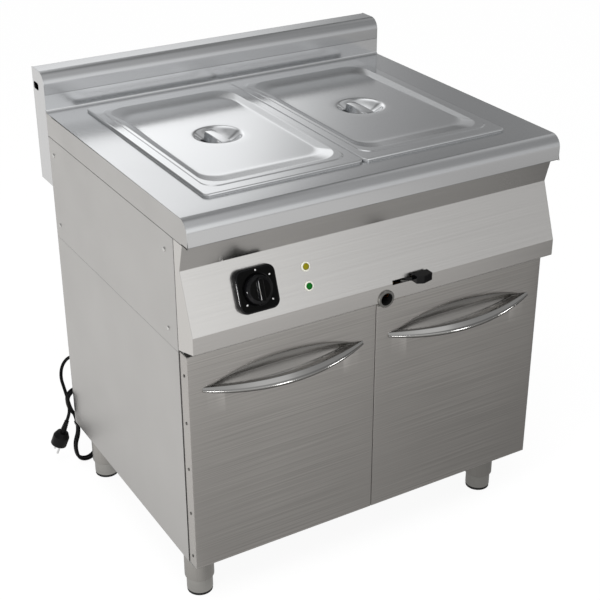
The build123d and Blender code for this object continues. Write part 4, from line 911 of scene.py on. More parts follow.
@dataclass
class Door:
    """Door skin with a pressed handle scoop, and the bow bar that crosses it.

    The bar's section is given as shares of its half height and half depth: a round bead below and a lip
    that slopes back above it.
    """

    side: float
    name: str
    half_width: float = 199.0
    middle: float = 199.8
    front: float = -309.5
    depth: float = 28.0
    bottom: float = 127.0
    top: float = 593.5
    sheet: float = 1.2
    edge: float = 1.4
    edge_angle: float = 50.0
    handle_z: float = 519.0
    scoop_half: float = 162.0
    scoop_rise: float = 40.0
    scoop_fall: float = 23.0
    scoop_depth: float = 13.0
    scoop_margin: float = 8.0
    scoop_columns: int = 121
    row_counts: tuple[int, int, int] = (8, 61, 6)
    wall_share: float = 0.56
    lower_wall: float = 2.5
    ledge_share: float = 0.2
    deep_from: float = 14.0
    rim_row: float = 0.8
    foot_share: float = 0.85
    lean_share: float = 0.55
    lean_ease: float = 1.4
    sunk_span: Pair = (1.0, 21.0)
    sunk_margin: float = 10.0
    sunk_band: float = 60.0
    bar_section: Rows = (
        (-0.85, -0.6), (-1.0, -0.1), (-0.93, 0.45), (-0.72, 0.85), (-0.45, 1.0), (-0.2, 0.97), (-0.06, 0.8),
        (0.04, 0.56), (0.16, 0.46), (0.5, 0.24), (0.84, 0.0), (0.97, -0.15), (0.95, -0.45), (0.7, -0.68),
        (0.3, -0.75), (-0.3, -0.75))
    section_steps: int = 4
    bar_steps: int = 97
    bar_half: float = 171.0
    bar_reach: float = 30.0
    bar_drop: float = 10.0
    bar_half_height: float = 10.0
    bar_half_depth: float = 6.0
    bar_sharp: float = 60.0
    painted_shade_normal_z: float = -0.25
    tip_share: float = 0.45
    tip_ease: float = 0.75
    tip_sink: float = 0.3
    spot_power: float = 2.4
    spots: Rows = ((-0.92, 12.0), (-0.14, 8.0), (0.58, 8.0))

    def front_face(self) -> np.ndarray:
        """Front face with its scoop.

        Columns run across the door and rows up it, gathered between the scoop's lower and upper bows, which
        are parabolas over the scoop's length. From the upper bow the face sinks by a parabola towards a floor
        that leans out on its way down, and by a short smooth step it comes out again at the lower bow;
        towards the tips it gets shallow.

        Returns:
            Grid of rows by columns by 3.
        """
        spread = np.sin(np.linspace(-QUARTER, QUARTER, self.scoop_columns)) * self.scoop_half
        margin = self.scoop_margin
        edge = np.array([-self.half_width, margin - self.half_width, -self.scoop_half - margin])
        local = np.concatenate([edge, spread, -edge[::-1]])
        bow = np.clip(1 - (local / self.scoop_half) ** 2, 0.0, 1.0)
        low = self.handle_z - self.scoop_fall * bow
        high = self.handle_z + self.scoop_rise * bow
        below, inside, above = (np.linspace(0.0, 1.0, count)[:, None] for count in self.row_counts)
        under = low - self.rim_row
        over = high + self.rim_row
        z = np.concatenate([self.bottom + (under - self.bottom) * below, low + (high - low) * inside,
                            over + (self.top - over) * above])
        tall = np.maximum(high - low, TINY)
        fall = np.clip((high - z) / (self.wall_share * tall), 0.0, 1.0)
        ledge = np.clip((z - low) / np.minimum(self.lower_wall, self.ledge_share * tall), 0.0, 1.0)
        deep = self.scoop_depth * np.clip(tall / self.deep_from, 0.0, 1.0)
        lean = np.clip((z - low) / (self.lean_share * tall), 0.0, 1.0)
        floor = self.foot_share + (1 - self.foot_share) * (1 - (1 - lean) ** self.lean_ease)
        sink = deep * floor * fall ** 2 * ledge ** 2 * (3 - 2 * ledge)
        x = np.broadcast_to(self.side * self.middle + local, z.shape)
        return np.stack([x, self.front + sink, z], axis=-1)

    def in_scoop(self, rows: np.ndarray) -> np.ndarray:
        """Tell the faces sunk in the scoop from the flat face and the folds.

        Args:
            rows: the faces' middles in metres.

        Returns:
            Whether each face lies in the scoop.
        """
        middle = np.array([self.side * self.middle, self.front, self.handle_z])
        across, sunk, up = np.abs(rows / MM - middle).T
        shallow, deep = self.sunk_span
        beside = self.half_width - self.sunk_margin
        return (sunk > shallow) & (sunk < deep) & (across < beside) & (up < self.sunk_band)

    def build_skin(self) -> None:
        """Fold four edges back from the front face, give the sheet its thickness and round the folds."""
        face = self.front_face()
        patches = [Patch(face)]
        for border in (face[0], face[-1], face[:, 0], face[:, -1]):
            behind = border.copy()
            behind[:, 1] = self.front + self.depth
            patches.append(Patch(np.stack([border, behind])))
        piece = make_piece(self.name + "_door_front", patches, DOOR_STEEL, self.name + "_door",
                           (self.name + "_door_skin",))
        # The sunk faces take the scoop's finish, whose darker colour is painted shade
        second_finish(piece, SCOOP_STEEL, "center", self.in_scoop)
        thicken(piece, self.sheet)
        ease_edges(piece, self.edge, self.edge_angle)

    def build_bar(self) -> Object:
        """Carry the bar's section along its bow.

        The bow is a parabola out from the door and down. The section is a closed cubic curve through its
        points, at each of which its slope is half the step between the two neighbours. It shrinks towards
        the tips, which sink into the door's face.

        Returns:
            The bar.
        """
        points = np.array(self.bar_section)
        share = np.linspace(0.0, 1.0, self.section_steps, endpoint=False)[None, :, None]
        before, here, after, later = (np.roll(points, shift, axis=0)[:, None] for shift in (1, 0, -1, -2))
        curve = 0.5 * (2 * here + (after - before) * share
                       + (2 * before - 5 * here + 4 * after - later) * share ** 2
                       + (3 * here - before - 3 * after + later) * share ** 3)
        section = curve.reshape(-1, 2)
        along = np.sin(np.linspace(-QUARTER, QUARTER, self.bar_steps))[:, None]
        bow = 1 - along ** 2
        swell = self.tip_share + (1 - self.tip_share) * bow ** self.tip_ease
        grid = np.empty((len(along), len(section), 3))
        grid[..., 0] = self.side * self.middle + along * self.bar_half
        out = self.front - self.bar_reach * bow - section[:, 1] * self.bar_half_depth * swell
        grid[..., 1] = np.minimum(out, self.front + self.tip_sink)
        grid[..., 2] = self.handle_z - self.bar_drop * bow + section[:, 0] * self.bar_half_height * swell
        bar = make_piece(self.name + "_bow_bar", [Patch(capped(grid), True)], BAR_STEEL, self.name + "_door",
                         (self.name + "_door_handle",), self.bar_sharp)
        # Faces of the bar that look down take the painted shade
        second_finish(bar, BAR_UNDERSIDE_PAINTED_SHADE, "normal", lambda rows: rows[:, 2] < self.painted_shade_normal_z)
        return bar

    def bar_spot(self, share: float, rise: float) -> tuple[np.ndarray, np.ndarray]:
        """Point on the bar's bow and the way its bead faces there.

        Args:
            share: place along the bar, from -1 at its left tip to 1 at its right tip.
            rise: angle in degrees by which the bead faces up.

        Returns:
            The point in metres and the unit normal.
        """
        bow = 1 - share ** 2
        point = np.array([self.side * self.middle + share * self.bar_half, self.front - self.bar_reach * bow,
                          self.handle_z - self.bar_drop * bow])
        turn = math.atan(2 * self.bar_reach * share / self.bar_half)
        up = math.radians(rise)
        normal = np.array([math.sin(turn) * math.cos(up), -math.cos(turn) * math.cos(up), math.sin(up)])
        return point * MM, normal

    def build(self, studio: "Studio") -> None:
        """Build the skin and the bar, and hang the bar's spot lamps.

        Args:
            studio: the room that hangs the lamps.
        """
        self.build_skin()
        bar = self.build_bar()
        for number, (share, rise) in enumerate(self.spots):
            spot = self.bar_spot(share, rise)
            studio.spot_lamp(f"{self.name}_bar_lamp_{number}", bar, *spot, self.spot_power)


@dataclass
class Controls:
    """Knob on its bezel and the two lamps, on the sloping face of the control panel.

    Profiles are rows of inset or radius and of height off the slope.
    """

    neck_y: float = -299.5
    neck_z: float = 758.0
    run: float = 0.34005
    fall: float = 0.94040
    square_on: float = 0.97
    knob_x: float = -266.1
    knob_down: float = 61.9
    bezel_half: float = 40.5
    bezel_corner: float = 16.0
    least_corner: float = 0.4
    bezel_side: Rows = ((0.0, 0.0), (0.6, 11.0), (4.0, 12.0), (8.0, 12.0))
    bezel_radii: Row = (3.0, 3.0)
    bezel_steps: int = 6
    bezel_dish: Rows = ((31.0, 12.0), (30.0, 11.9), (28.6, 11.1), (8.2, 11.1), (8.2, 0.0))
    mark_turns: Row = (88.0, 38.0, -42.0, 222.0)
    mark_circle: float = 34.5
    mark_across: Row = (1.7, 1.7, 0.01)
    mark_up: Row = (1.2, 1.2, 0.01)
    mark_corners: Row = (0.6, 0.6, 0.005)
    mark_heights: Row = (11.8, 12.15, 12.15)
    mark_steps: int = 4
    skirt_profile: Rows = ((0.0, 12.5), (27.0, 12.5), (25.8, 19.5), (20.0, 21.5), (0.0, 21.5))
    skirt_radii: Row = (0.6, 2.4, 4.0)
    skirt_steps: int = 7
    skirt_sides: int = 64
    grip_half: Pair = (6.5, 23.0)
    grip_corner: float = 6.3
    grip_profile: Rows = ((0.0, 13.5), (1.2, 30.0), (6.45, 30.0))
    grip_radius: float = 2.2
    grip_steps: int = 8
    grip_waist: float = 0.28
    waist_reach: float = 11.0
    glint_turn: float = 40.0
    glint_power: float = 26.0
    lamp_x: float = -160.0
    lamps: dict[str, tuple[float, Moulded]] = field(
        default_factory=lambda: {"amber": (46.0, AMBER), "green": (82.0, GREEN)})
    ring_profile: Rows = ((6.15, 0.0), (6.15, 3.0), (9.2, 3.0), (9.2, 0.0))
    ring_radii: Row = (1.0, 1.4)
    ring_steps: int = 7
    lamp_sides: int = 40
    lens_radius: float = 6.0
    lens_foot: float = 0.2
    lens_shoulder: float = 2.6
    lens_crown: float = 2.8
    lens_steps: int = 12

    def on_slope(self, local: np.ndarray, x: float, down: float) -> np.ndarray:
        """Set points of across, up the slope and off the slope onto the sloping face.

        Args:
            local: points with their last axis as across, up and off.
            x: place across the panel.
            down: place down the slope from the neck.

        Returns:
            Points in the shared frame.
        """
        up = local[..., 1] - down
        y = self.neck_y + up * self.run - local[..., 2] * self.fall
        z = self.neck_z + up * self.fall + local[..., 2] * self.run
        return np.stack([x + local[..., 0], y, z], axis=-1)

    def at_knob(self, local: np.ndarray) -> Patch:
        """Wrapped patch of points about the knob's axis."""
        return Patch(self.on_slope(local, self.knob_x, self.knob_down), True)

    def faces_out(self, rows: np.ndarray) -> np.ndarray:
        """Tell normals that stand square on the sloping face from those of edges and sides."""
        return rows @ np.array([0.0, -self.fall, self.run]) > self.square_on

    def stacked(self, profile: np.ndarray, half_x: float, half_y: float, corner: float) -> np.ndarray:
        """Stack rounded rectangles by a profile of inset and height.

        Args:
            profile: rows of inset and height.
            half_x: half size across.
            half_y: half size up the slope.
            corner: corner radius of the outermost loop.

        Returns:
            Grid of loops by points by 3.
        """
        inset, height = profile.T
        loops = rounded_loops(half_x - inset, half_y - inset, np.maximum(corner - inset, self.least_corner))
        return raised(loops, height)

    def edge_glint(self, across: float, off: float) -> tuple[np.ndarray, np.ndarray]:
        """Place on a rounded left edge beside the knob's axis, where a lamp can show as a glint.

        Args:
            across: its place across from the axis.
            off: its height off the slope.

        Returns:
            The point in metres, and the unit normal about halfway round the edge.
        """
        turn = math.radians(self.glint_turn)
        point = self.on_slope(np.array([across, 0.0, off]), self.knob_x, self.knob_down) * MM
        return point, np.array([-math.cos(turn), -math.sin(turn) * self.fall, math.sin(turn) * self.run])

    def build_bezel(self) -> Object:
        """Square bezel with a rounded rim, a shallow round dish for the knob, and four printed marks.

        Returns:
            The bezel without its marks.
        """
        side = eased(self.bezel_side, self.bezel_radii, self.bezel_steps)
        wall = self.stacked(side, self.bezel_half, self.bezel_half, self.bezel_corner)
        dish = turned(np.array(self.bezel_dish), corner_angles(CORNER_STEPS))
        shell = self.at_knob(np.concatenate([wall, dish, wall[:1]]))
        plate = make_piece("knob_bezel_plate", [shell], BLACK_GLOSS, "carcass",
                           ("knob_bezel",))
        second_finish(plate, BLACK_FACE, "normal", self.faces_out)
        mark = rounded_loops(self.mark_across, self.mark_up, self.mark_corners, self.mark_steps)
        mark = mark + np.array([self.mark_circle, 0.0])
        marks = []
        for turn in np.radians(self.mark_turns):
            spin = np.array([[math.cos(turn), math.sin(turn)], [-math.sin(turn), math.cos(turn)]])
            marks.append(self.at_knob(raised(mark @ spin, self.mark_heights)))
        make_piece("knob_scale_marks", marks, MARK_WHITE, "carcass")
        return plate

    def build_knob(self) -> Object:
        """Round skirt turned from its profile, with a grip stacked from rounded rectangles.

        The grip's waist is drawn in by a bell curve over its length.

        Returns:
            The knob.
        """
        skirt = eased(self.skirt_profile, self.skirt_radii, self.skirt_steps)
        rise = eased(self.grip_profile, (self.grip_radius,), self.grip_steps)
        grip = self.stacked(rise, *self.grip_half, self.grip_corner)
        grip[..., 0] *= 1 - self.grip_waist * np.exp(-(grip[..., 1] / self.waist_reach) ** 2)
        middle = grip[-1:] * np.array([0.0, 1.0, 1.0])
        base = grip[:1] * np.array([0.0, 0.0, 1.0])
        patches = [self.at_knob(turned(skirt, self.skirt_sides)),
                   self.at_knob(np.concatenate([base, grip, middle]))]
        knob = make_piece("thermostat_hand_knob", patches, BLACK_GLOSS, "thermostat_knob",
                          ("control_knob",))
        second_finish(knob, BLACK_FACE, "normal", self.faces_out)
        return knob

    def build_lamps(self) -> None:
        """Domed lenses turned from a quarter ellipse, each in a rounded ring."""
        ring = turned(eased(self.ring_profile, self.ring_radii, self.ring_steps), self.lamp_sides)
        ring = np.concatenate([ring, ring[:1]])
        sweep = np.linspace(0.0, QUARTER, self.lens_steps)
        crown = self.lens_shoulder + self.lens_crown * np.sin(sweep)
        dome = np.stack([self.lens_radius * np.cos(sweep), crown], axis=-1)
        dome = np.concatenate([[(0.0, self.lens_foot), (self.lens_radius, self.lens_foot)], dome])
        rings = []
        for name, (down, finish) in self.lamps.items():
            rings.append(Patch(self.on_slope(ring, self.lamp_x, down), True))
            lens = Patch(self.on_slope(turned(dome, self.lamp_sides), self.lamp_x, down), True)
            make_piece(name + "_lens_dome", [lens], finish, "carcass",
                       (name + "_lamp_lens",))
        make_piece("lamp_rings", rings, RING_PLASTIC, "carcass", ("lamp_bezels",))

    def build(self, studio: "Studio") -> None:
        """Build bezel, knob and lamps, with a glint on the left edges of the bezel and the grip.

        Args:
            studio: the room that hangs the glints' lamps.
        """
        bezel = self.build_bezel()
        knob = self.build_knob()
        self.build_lamps()
        rim = self.edge_glint(-self.bezel_half, self.bezel_side[-1][1])
        studio.spot_lamp("bezel_glint_lamp", bezel, *rim, self.glint_power)
        waist = (1 - self.grip_waist) * self.grip_half[0]
        grip = self.edge_glint(-waist, self.grip_profile[-1][1])
        studio.spot_lamp("grip_glint_lamp", knob, *grip, self.glint_power)


@dataclass
class SupplyCord:
    """Mains lead out of the gland, wound into a hanging hank, with its plug at the end.

    The lead is given from the exit, and the tail from where it leaves the hank. The plug's profiles are rows
    of radius and of the way along from the cord's end.
    """

    exit: Point = (-374.0, 331.5, 264.0)
    radius: float = 3.75
    round_steps: int = 4
    run_steps: int = 8
    order: int = 3
    length: float = 1.10
    lead: Rows = (
        (0.0, 0.0, 0.0), (0.0, 24.0, 0.0), (-10.0, 42.0, -14.0), (-22.0, 46.0, -34.0), (-30.0, 34.0, -55.0),
        (-31.0, 13.0, -71.0), (-30.0, 1.0, -92.0), (-27.0, -4.0, -115.0))
    tail: Rows = ((1.5, 0.0, -15.9), (0.3, 2.0, -34.6), (-5.7, 4.5, -51.1))
    hank_origin: Point = (-374.0, 326.9, 30.0)
    lean: float = 5.5
    layer: float = 8.2
    low_radius: float = 24.0
    high_radius: float = 22.5
    bow_points: int = 5
    bow_slack: float = 0.5
    waist: float = 8.0
    rise_at: Row = (26.0, 56.0, 100.0, 126.0)
    high_at: float = 150.0
    entry_at: float = 96.0
    crossing: Row = (0.25, 0.75)
    plug_body: Rows = ((7.0, 30.0), (13.0, 31.0), (18.5, 42.0), (18.5, 66.0), (0.0, 66.0))
    plug_radii: Row = (2.0, 4.0, 2.5)
    plug_steps: int = 8
    plug_sides: int = 40
    plug_sharp: float = 45.0
    relief_length: float = 30.0
    relief_steps: int = 61
    relief_radii: Pair = (4.8, 7.0)
    rib_depth: float = 0.45
    rib_count: int = 6
    pin_profile: Rows = ((0.0, 64.0), (2.4, 64.0), (2.4, 85.0), (0.0, 85.0))
    pin_radii: Row = (0.0, 1.2)
    pin_steps: int = 6
    pin_sides: int = 20
    pin_apart: float = 9.5

    def on_hank(self, rows: np.ndarray) -> np.ndarray:
        """Set points of the hank's leaning plane into the shared frame.

        Args:
            rows: points with their last axis as across, up and forward.

        Returns:
            Points in the shared frame.
        """
        lean = math.radians(self.lean)
        basis = np.array([(math.cos(lean), 0.0, math.sin(lean)), (-math.sin(lean), 0.0, math.cos(lean)),
                          (0.0, -1.0, 0.0)])
        return np.array(self.hank_origin) + rows @ basis

    def turn_controls(self, start: float) -> np.ndarray:
        """Control points of one turn of the hank.

        A turn is a polygon round the lower bow, up past the tie, round the upper bow and down past the tie;
        its corners lie on a circle larger than the bow by one over the cosine of half a step.

        Args:
            start: layer that the turn starts on.

        Returns:
            Rows of across, up and layer.
        """
        half_step = QUARTER / self.bow_points
        angle = half_step + np.arange(self.bow_points) * 2 * half_step
        low = self.low_radius / math.cos(half_step)
        high = self.high_radius / math.cos(half_step)
        across = (self.low_radius - self.bow_slack, self.waist, self.waist, self.high_radius - self.bow_slack)
        rising = np.stack([across, self.rise_at], axis=-1)
        falling = rising[::-1] * np.array([-1.0, 1.0])
        lower = np.stack([-low * np.cos(angle), -low * np.sin(angle)], axis=-1)
        upper = np.stack([high * np.cos(angle), self.high_at + high * np.sin(angle)], axis=-1)
        route = np.concatenate([lower, rising, upper, falling])
        before = self.bow_points + 1
        after = len(route) - before - len(self.crossing)
        layer = start + self.layer * np.concatenate([np.zeros(before), self.crossing, np.ones(after)])
        return np.concatenate([route, layer[:, None]], axis=-1)

    def route(self) -> np.ndarray:
        """Control points of the whole cord: lead, hank and tail.

        Returns:
            Rows of x, y and z in millimetres.
        """
        entry = np.array([(-self.waist, self.entry_at, 0.0), (-self.waist, self.rise_at[1], 0.0),
                          (self.bow_slack - self.low_radius, self.rise_at[0], 0.0)])
        last = self.turn_controls(self.layer)[:-len(self.rise_at)]
        hank = self.on_hank(np.concatenate([entry, self.turn_controls(0.0), last]))
        leave = self.on_hank(np.array([-self.high_radius, self.high_at, 2 * self.layer]))
        return np.concatenate([np.array(self.exit) + self.lead, hank, leave + self.tail])

    def build_plug(self, tip: np.ndarray, ahead: np.ndarray) -> list[Object]:
        """Plug turned along the cord's last run: relief ribbed by a sine, shoulder, round body and pins.

        Args:
            tip: end of the cord.
            ahead: direction of its last run.

        Returns:
            The plug's body and its pins.
        """
        axis = ahead / np.linalg.norm(ahead)
        cross = np.cross(axis, np.cross(np.array([0.0, 1.0, 0.0]), axis))
        cross = cross / np.linalg.norm(cross)
        basis = np.stack([cross, np.cross(axis, cross), axis])
        share = np.linspace(0.0, 1.0, self.relief_steps)
        thin, thick = self.relief_radii
        ribs = self.rib_depth * np.sin(share * self.rib_count * 2 * math.pi)
        relief = np.stack([thin + (thick - thin) * share + ribs, share * self.relief_length], axis=-1)
        body = eased(self.plug_body, self.plug_radii, self.plug_steps)
        profile = np.concatenate([[[0.0, 0.0]], relief, body])
        shell = Patch(tip + turned(profile, self.plug_sides) @ basis, True)
        moulding = make_piece("plug_moulding", [shell], BLACK_PLAIN, "carcass", ("mains_plug",),
                              self.plug_sharp)
        pin = turned(eased(self.pin_profile, self.pin_radii, self.pin_steps), self.pin_sides)
        shifts = (np.array([side * self.pin_apart, 0.0, 0.0]) for side in (1.0, -1.0))
        pins = make_piece("plug_pins", [Patch(tip + (pin + shift) @ basis, True) for shift in shifts], CHROME,
                          "carcass")
        return [moulding, pins]

    def build(self) -> None:
        route = self.route()
        curve = bpy.data.curves.new("supply_cord", "CURVE")
        curve.dimensions = "3D"
        curve.bevel_depth = self.radius * MM
        curve.bevel_resolution = self.round_steps
        curve.resolution_u = self.run_steps
        curve.use_fill_caps = True
        spline = curve.splines.new("NURBS")
        spline.points.add(len(route) - 1)
        weighted = np.concatenate([route * MM, np.ones((len(route), 1))], axis=1)
        spline.points.foreach_set("co", weighted.ravel())
        spline.order_u = self.order
        spline.use_endpoint_u = True
        curve.materials.append(stock(CORD_RUBBER))
        cord = set_in_scene("supply_cord", curve)
        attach(cord, "carcass")
        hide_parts("cord_lead", "cord_hank", "cord_tail")
        plug = self.build_plug(route[-1], route[-1] - route[-2])
        log.info("supply_cord: %d control points", len(route))


@dataclass
class CarriedNodes:
    """Finishes of the nodes whose own meshes stay."""

    finishes: dict[Finish, tuple[str, ...]] = field(default_factory=lambda: {
        SIDE_STEEL: ("left_side_panel", "right_side_panel", "upper_left_side", "upper_right_side",
                     "rear_panel", "base_floor"),
        PANEL_STEEL: ("control_panel",),
        TOP_STEEL: ("splashback_left_cap", "splashback_right_cap", "divider_bar"),
        LID_STEEL: ("left_pan", "right_pan", "water_tank"),
        GALVANISED: ("module_base", "left_door_liner", "right_door_liner", "hinge_brackets", "cable_duct",
                     "thermostat_spindle"),
        LEG_STEEL: ("leg_sleeves",),
        CHROME: ("left_hinge_pins", "right_hinge_pins"),
        SPOUT_BORE_PAINTED_SHADE: ("drain_spout",),
        SCREW_STEEL: ("side_screws",),
        RIVET_STEEL: ("left_door_rivets", "right_door_rivets"),
        ELEMENT: ("heating_element",),
        BRASS: ("valve_body", "valve_ball", "drain_pipe", "thermostat_bulb"),
        BLACK_GLOSS: ("drain_lever",),
        BLACK_PLAIN: ("door_catches", "thermostat_body", "terminal_block", "cable_gland", "cord_tie"),
        FOOT: ("front_left_foot", "front_right_foot", "rear_left_foot", "rear_right_foot"),
    })

    def dress(self) -> None:
        """Give each node its finish through its material slots."""
        for finish, names in self.finishes.items():
            for name in names:
                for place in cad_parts[name].material_slots:
                    place.material = stock(finish)
                log.info("%s: %s", name, finish.name)


@dataclass
class Studio:
    """White room: plain floor, soft lamps, and a sky and floor whose greys only the metal mirrors.

    The sky's grey is a ramp over the tilt in degrees, from the horizon in front over the zenith to the
    horizon behind, times a ramp over the way across, one for the sky in front and one for the sky behind.
    Behind, the way across leans with the height. The floor's grey is a ramp over X plus a ramp over Y. The
    door bars, the bezel and the knob have small lamps of their own, which light nothing else and show as
    white spots.
    """

    eye: Point = (-1.2317, -2.1107, 1.7279)
    turn: Point = (62.672, 0.109, -30.624)
    lens: float = 77.93
    sensor: float = 36.0
    sight: float = 50.0
    lamps: tuple[tuple[str, Point, float, float], ...] = (
        ("top_lamp", (-1.0, -1.4, 3.0), 1.6, 40.0), ("left_lamp", (-2.1, -1.3, 1.95), 0.5, 14.0))
    lit_point: Point = (0.0, -0.2, 0.6)
    spot_size: float = 0.24
    spot_away: float = 1.4
    sky_light: float = 0.6
    sky_tint: Point = (0.995, 1.0, 1.008)
    sky_tilt: Rows = (
        (0.0, 1.0), (19.0, 0.95), (25.0, 0.85), (32.0, 0.66), (45.0, 0.56), (80.0, 0.55), (100.0, 0.75),
        (112.0, 1.05), (134.0, 1.05), (142.0, 0.5), (145.0, 0.47), (148.0, 0.6), (151.0, 1.05), (157.0, 1.15),
        (163.0, 1.15), (166.0, 0.75), (169.0, 0.36), (180.0, 0.25))
    sky_front: Rows = (
        (-1.0, 0.8), (-0.3, 0.75), (0.0, 0.85), (0.2, 1.15), (0.38, 1.15), (0.41, 1.0), (0.45, 0.78),
        (0.52, 0.65), (0.6, 0.56), (1.0, 0.5))
    sky_behind: Rows = (
        (-1.0, 0.42), (0.12, 0.45), (0.38, 1.1), (0.44, 1.2), (0.5, 1.12), (0.535, 1.05), (0.575, 0.95),
        (0.59, 0.85), (0.605, 0.68), (0.625, 0.5), (0.65, 0.36), (0.7, 0.26), (0.765, 0.27), (0.83, 0.48),
        (1.2, 0.48))
    sky_blend: float = 0.2
    behind_lean: float = 0.4
    floor_half: float = 6.0
    floor_white: float = 1.05
    floor_shadow: float = 0.12
    floor_matt: Colour = (0.9, 0.9, 0.9, 1.0)
    floor_tint: Point = (1.012, 1.0, 0.988)
    floor_across: Rows = (
        (-1.0, 0.84), (-0.6, 0.78), (-0.5, 0.72), (-0.3, 0.38), (0.0, 0.355), (0.25, 0.3), (0.55, 0.245),
        (0.85, 0.21), (1.1, 0.16), (1.4, 0.0))
    floor_ahead: Rows = (
        (-2.5, 0.52), (-1.7, 0.48), (-1.5, 0.34), (-1.34, 0.2), (-1.26, 0.18), (-0.93, 0.12), (-0.7, 0.04),
        (-0.5, 0.0))

    def ramp(self, tree: NodeTree, stops: Rows, source: Node | NodeSocket) -> Node:
        """Grey ramp over a value, with its stops at that value's own places.

        Args:
            tree: node tree that takes the ramp.
            stops: pairs of place and grey level.
            source: value that the ramp reads.

        Returns:
            The ramp.
        """
        low, high = stops[0][0], stops[-1][0]
        share = add_node(tree, "MapRange", {"Value": source, "From Min": low, "From Max": high})
        node = add_node(tree, "ValToRGB", {"Fac": share})
        marks = node.color_ramp.elements
        for place, _ in stops[1:-1]:
            marks.new((place - low) / (high - low))
        for mark, (place, level) in zip(marks, stops):
            mark.position = (place - low) / (high - low)
            mark.color = (level, level, level, 1.0)
        return node

    def by_ray(self, tree: NodeTree, seen: Node, mirrored: Node, other: Node) -> Node:
        """Show one shader to the camera, one to rays from a mirror or a glass, and one to all others.

        Args:
            tree: node tree that takes the nodes.
            seen: shader for the camera.
            mirrored: shader for rays that left a mirror or a glass.
            other: shader for all other rays.

        Returns:
            The shader mixed of them.
        """
        rays = add_node(tree, "LightPath").outputs
        either = add_node(tree, "Math", {0: rays["Is Glossy Ray"], 1: rays["Is Transmission Ray"]},
                          operation="MAXIMUM")
        first = add_node(tree, "MixShader", {0: either, 1: other, 2: mirrored})
        return add_node(tree, "MixShader", {0: rays["Is Camera Ray"], 1: first, 2: seen})

    def build_sky(self) -> None:
        """Sky: plain white to the eye, grey ramps to metal, softer white as light."""
        world = bpy.data.worlds.new("studio_sky")
        world.use_nodes = True
        bpy.context.scene.world = world
        tree = world.node_tree
        tree.nodes.clear()
        way = add_node(tree, "TexCoord").outputs["Generated"]
        axes = add_node(tree, "SeparateXYZ", {"Vector": way}).outputs
        height = add_node(tree, "Math", {0: axes["Z"]}, operation="ABSOLUTE")
        ahead = add_node(tree, "Math", {0: axes["Y"], 1: -1.0}, operation="MULTIPLY")
        angle = add_node(tree, "Math", {0: height, 1: ahead}, operation="ARCTAN2")
        tilt = add_node(tree, "Math", {0: angle}, operation="DEGREES")
        slant = (1.0, 0.0, self.behind_lean)
        leaning = add_node(tree, "VectorMath", {0: way, 1: slant}, operation="DOT_PRODUCT")
        side = add_node(tree, "MapRange", {
            "Value": axes["Y"], "From Min": -self.sky_blend, "From Max": self.sky_blend})
        across = add_node(tree, "Mix", {
            "Factor": side, "A": self.ramp(tree, self.sky_front, axes["X"]),
            "B": self.ramp(tree, self.sky_behind, leaning)}, data_type="RGBA")
        rise = self.ramp(tree, self.sky_tilt, tilt)
        grey = add_node(tree, "Math", {0: rise, 1: across}, operation="MULTIPLY")
        tinted = add_node(tree, "VectorMath", {0: self.sky_tint, 3: grey}, operation="SCALE")
        shown, plain, soft = (add_node(tree, "Background", {"Color": colour, "Strength": strength})
                              for colour, strength in ((tinted, 1.0), (WHITE, 1.0), (WHITE, self.sky_light)))
        add_node(tree, "OutputWorld", {"Surface": self.by_ray(tree, plain, shown, soft)})

    def build_floor(self) -> None:
        """Floor: white with a faint shadow to the eye, and two grey ramps to metal."""
        material, tree = new_material("studio_floor_paper")
        place = add_node(tree, "TexCoord").outputs["Object"]
        axes = add_node(tree, "SeparateXYZ", {"Vector": place}).outputs
        across = self.ramp(tree, self.floor_across, axes["X"])
        ahead = self.ramp(tree, self.floor_ahead, axes["Y"])
        grey = add_node(tree, "Math", {0: across, 1: ahead}, operation="ADD")
        tinted = add_node(tree, "VectorMath", {0: self.floor_tint, 3: grey}, operation="SCALE")
        matt = add_node(tree, "BsdfDiffuse", {"Color": self.floor_matt})
        white = add_node(tree, "Emission", {"Color": WHITE, "Strength": self.floor_white})
        seen = add_node(tree, "MixShader", {0: self.floor_shadow, 1: white, 2: matt})
        glow = add_node(tree, "Emission", {"Color": tinted, "Strength": 1.0})
        add_node(tree, "OutputMaterial", {"Surface": self.by_ray(tree, seen, glow, matt)})
        mesh = bpy.data.meshes.new("studio_floor")
        edge = self.floor_half
        corners = [(-edge, -edge, 0.0), (edge, -edge, 0.0), (edge, edge, 0.0), (-edge, edge, 0.0)]
        mesh.from_pydata(corners, [], [(0, 1, 2, 3)])
        mesh.materials.append(material)
        set_in_scene("studio_floor", mesh)

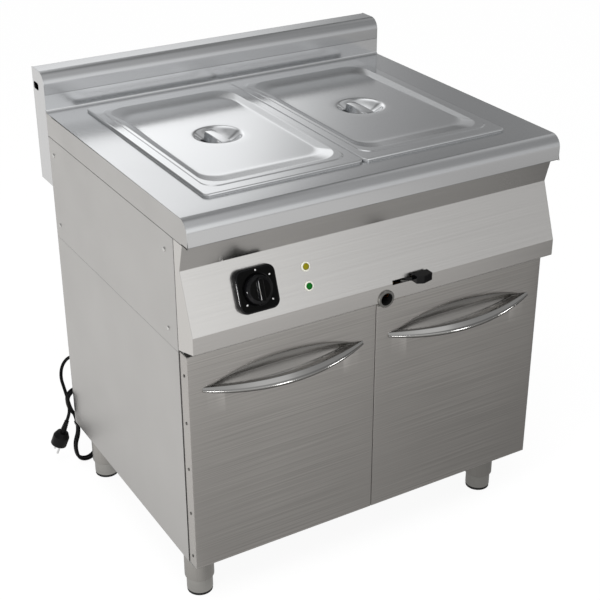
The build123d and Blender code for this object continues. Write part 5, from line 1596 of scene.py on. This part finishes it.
    def hang(self, name: str, place: Point | np.ndarray, aim: Point | np.ndarray, size: float,
             power: float) -> Object:
        """Hang one soft lamp, turned to a point.

        Args:
            name: its name.
            place: where it hangs.
            aim: the point that it is turned to.
            size: its side or diameter.
            power: its power in watts.

        Returns:
            The lamp.
        """
        light = bpy.data.lights.new(name, "AREA")
        light.size = size
        light.energy = power
        lamp = set_in_scene(name, light)
        lamp.location = place
        lamp.rotation_euler = (Vector(aim) - Vector(place)).to_track_quat("-Z", "Y").to_euler()
        return lamp

    def spot_lamp(self, name: str, piece: Object, point: np.ndarray, normal: np.ndarray,
                  power: float) -> None:
        """Hang one small round lamp where a piece mirrors it to the camera; it lights that piece alone.

        It hangs on the line from the eye to the point, turned back about the normal as a mirror turns it.

        Args:
            name: its name.
            piece: the piece that it lights.
            point: point of the piece that shows it.
            normal: unit normal there.
            power: its power in watts.
        """
        sight = point - np.array(self.eye)
        sight = sight / np.linalg.norm(sight)
        back = sight - 2 * (sight @ normal) * normal
        lamp = self.hang(name, point + back * self.spot_away, point, self.spot_size, power)
        lamp.data.shape = "DISK"
        lit = bpy.data.collections.new(name)
        lit.objects.link(piece)
        lamp.light_linking.receiver_collection = lit

    def build(self) -> None:
        """Set the camera, the sky, the floor and the lamps."""
        camera = bpy.data.cameras.new("photo_camera")
        camera.lens = self.lens
        camera.sensor_width = self.sensor
        camera.clip_end = self.sight
        eye = set_in_scene("photo_camera", camera)
        eye.location = self.eye
        eye.rotation_euler = Euler(np.radians(self.turn).tolist())
        bpy.context.scene.camera = eye
        self.build_sky()
        self.build_floor()
        for name, place, size, power in self.lamps:
            self.hang(name, place, self.lit_point, size, power).visible_glossy = False
        bpy.context.scene.view_settings.view_transform = "Standard"


def main() -> None:
    """Build every sub-assembly in order."""
    logging.basicConfig(level=logging.INFO, format="%(name)s: %(message)s")
    studio = Studio()
    studio.build()
    SupplyCord().build()
    CarriedNodes().dress()
    Worktop().build()
    Splashback().build()
    PressedLid("left_lid", "left_lid", -163.25).build()
    PressedLid("right_lid", "right_lid", 163.25).build()
    Door(-1.0, "left").build(studio)
    Door(1.0, "right").build(studio)
    Controls().build(studio)


if __name__ == "__main__":
    main()
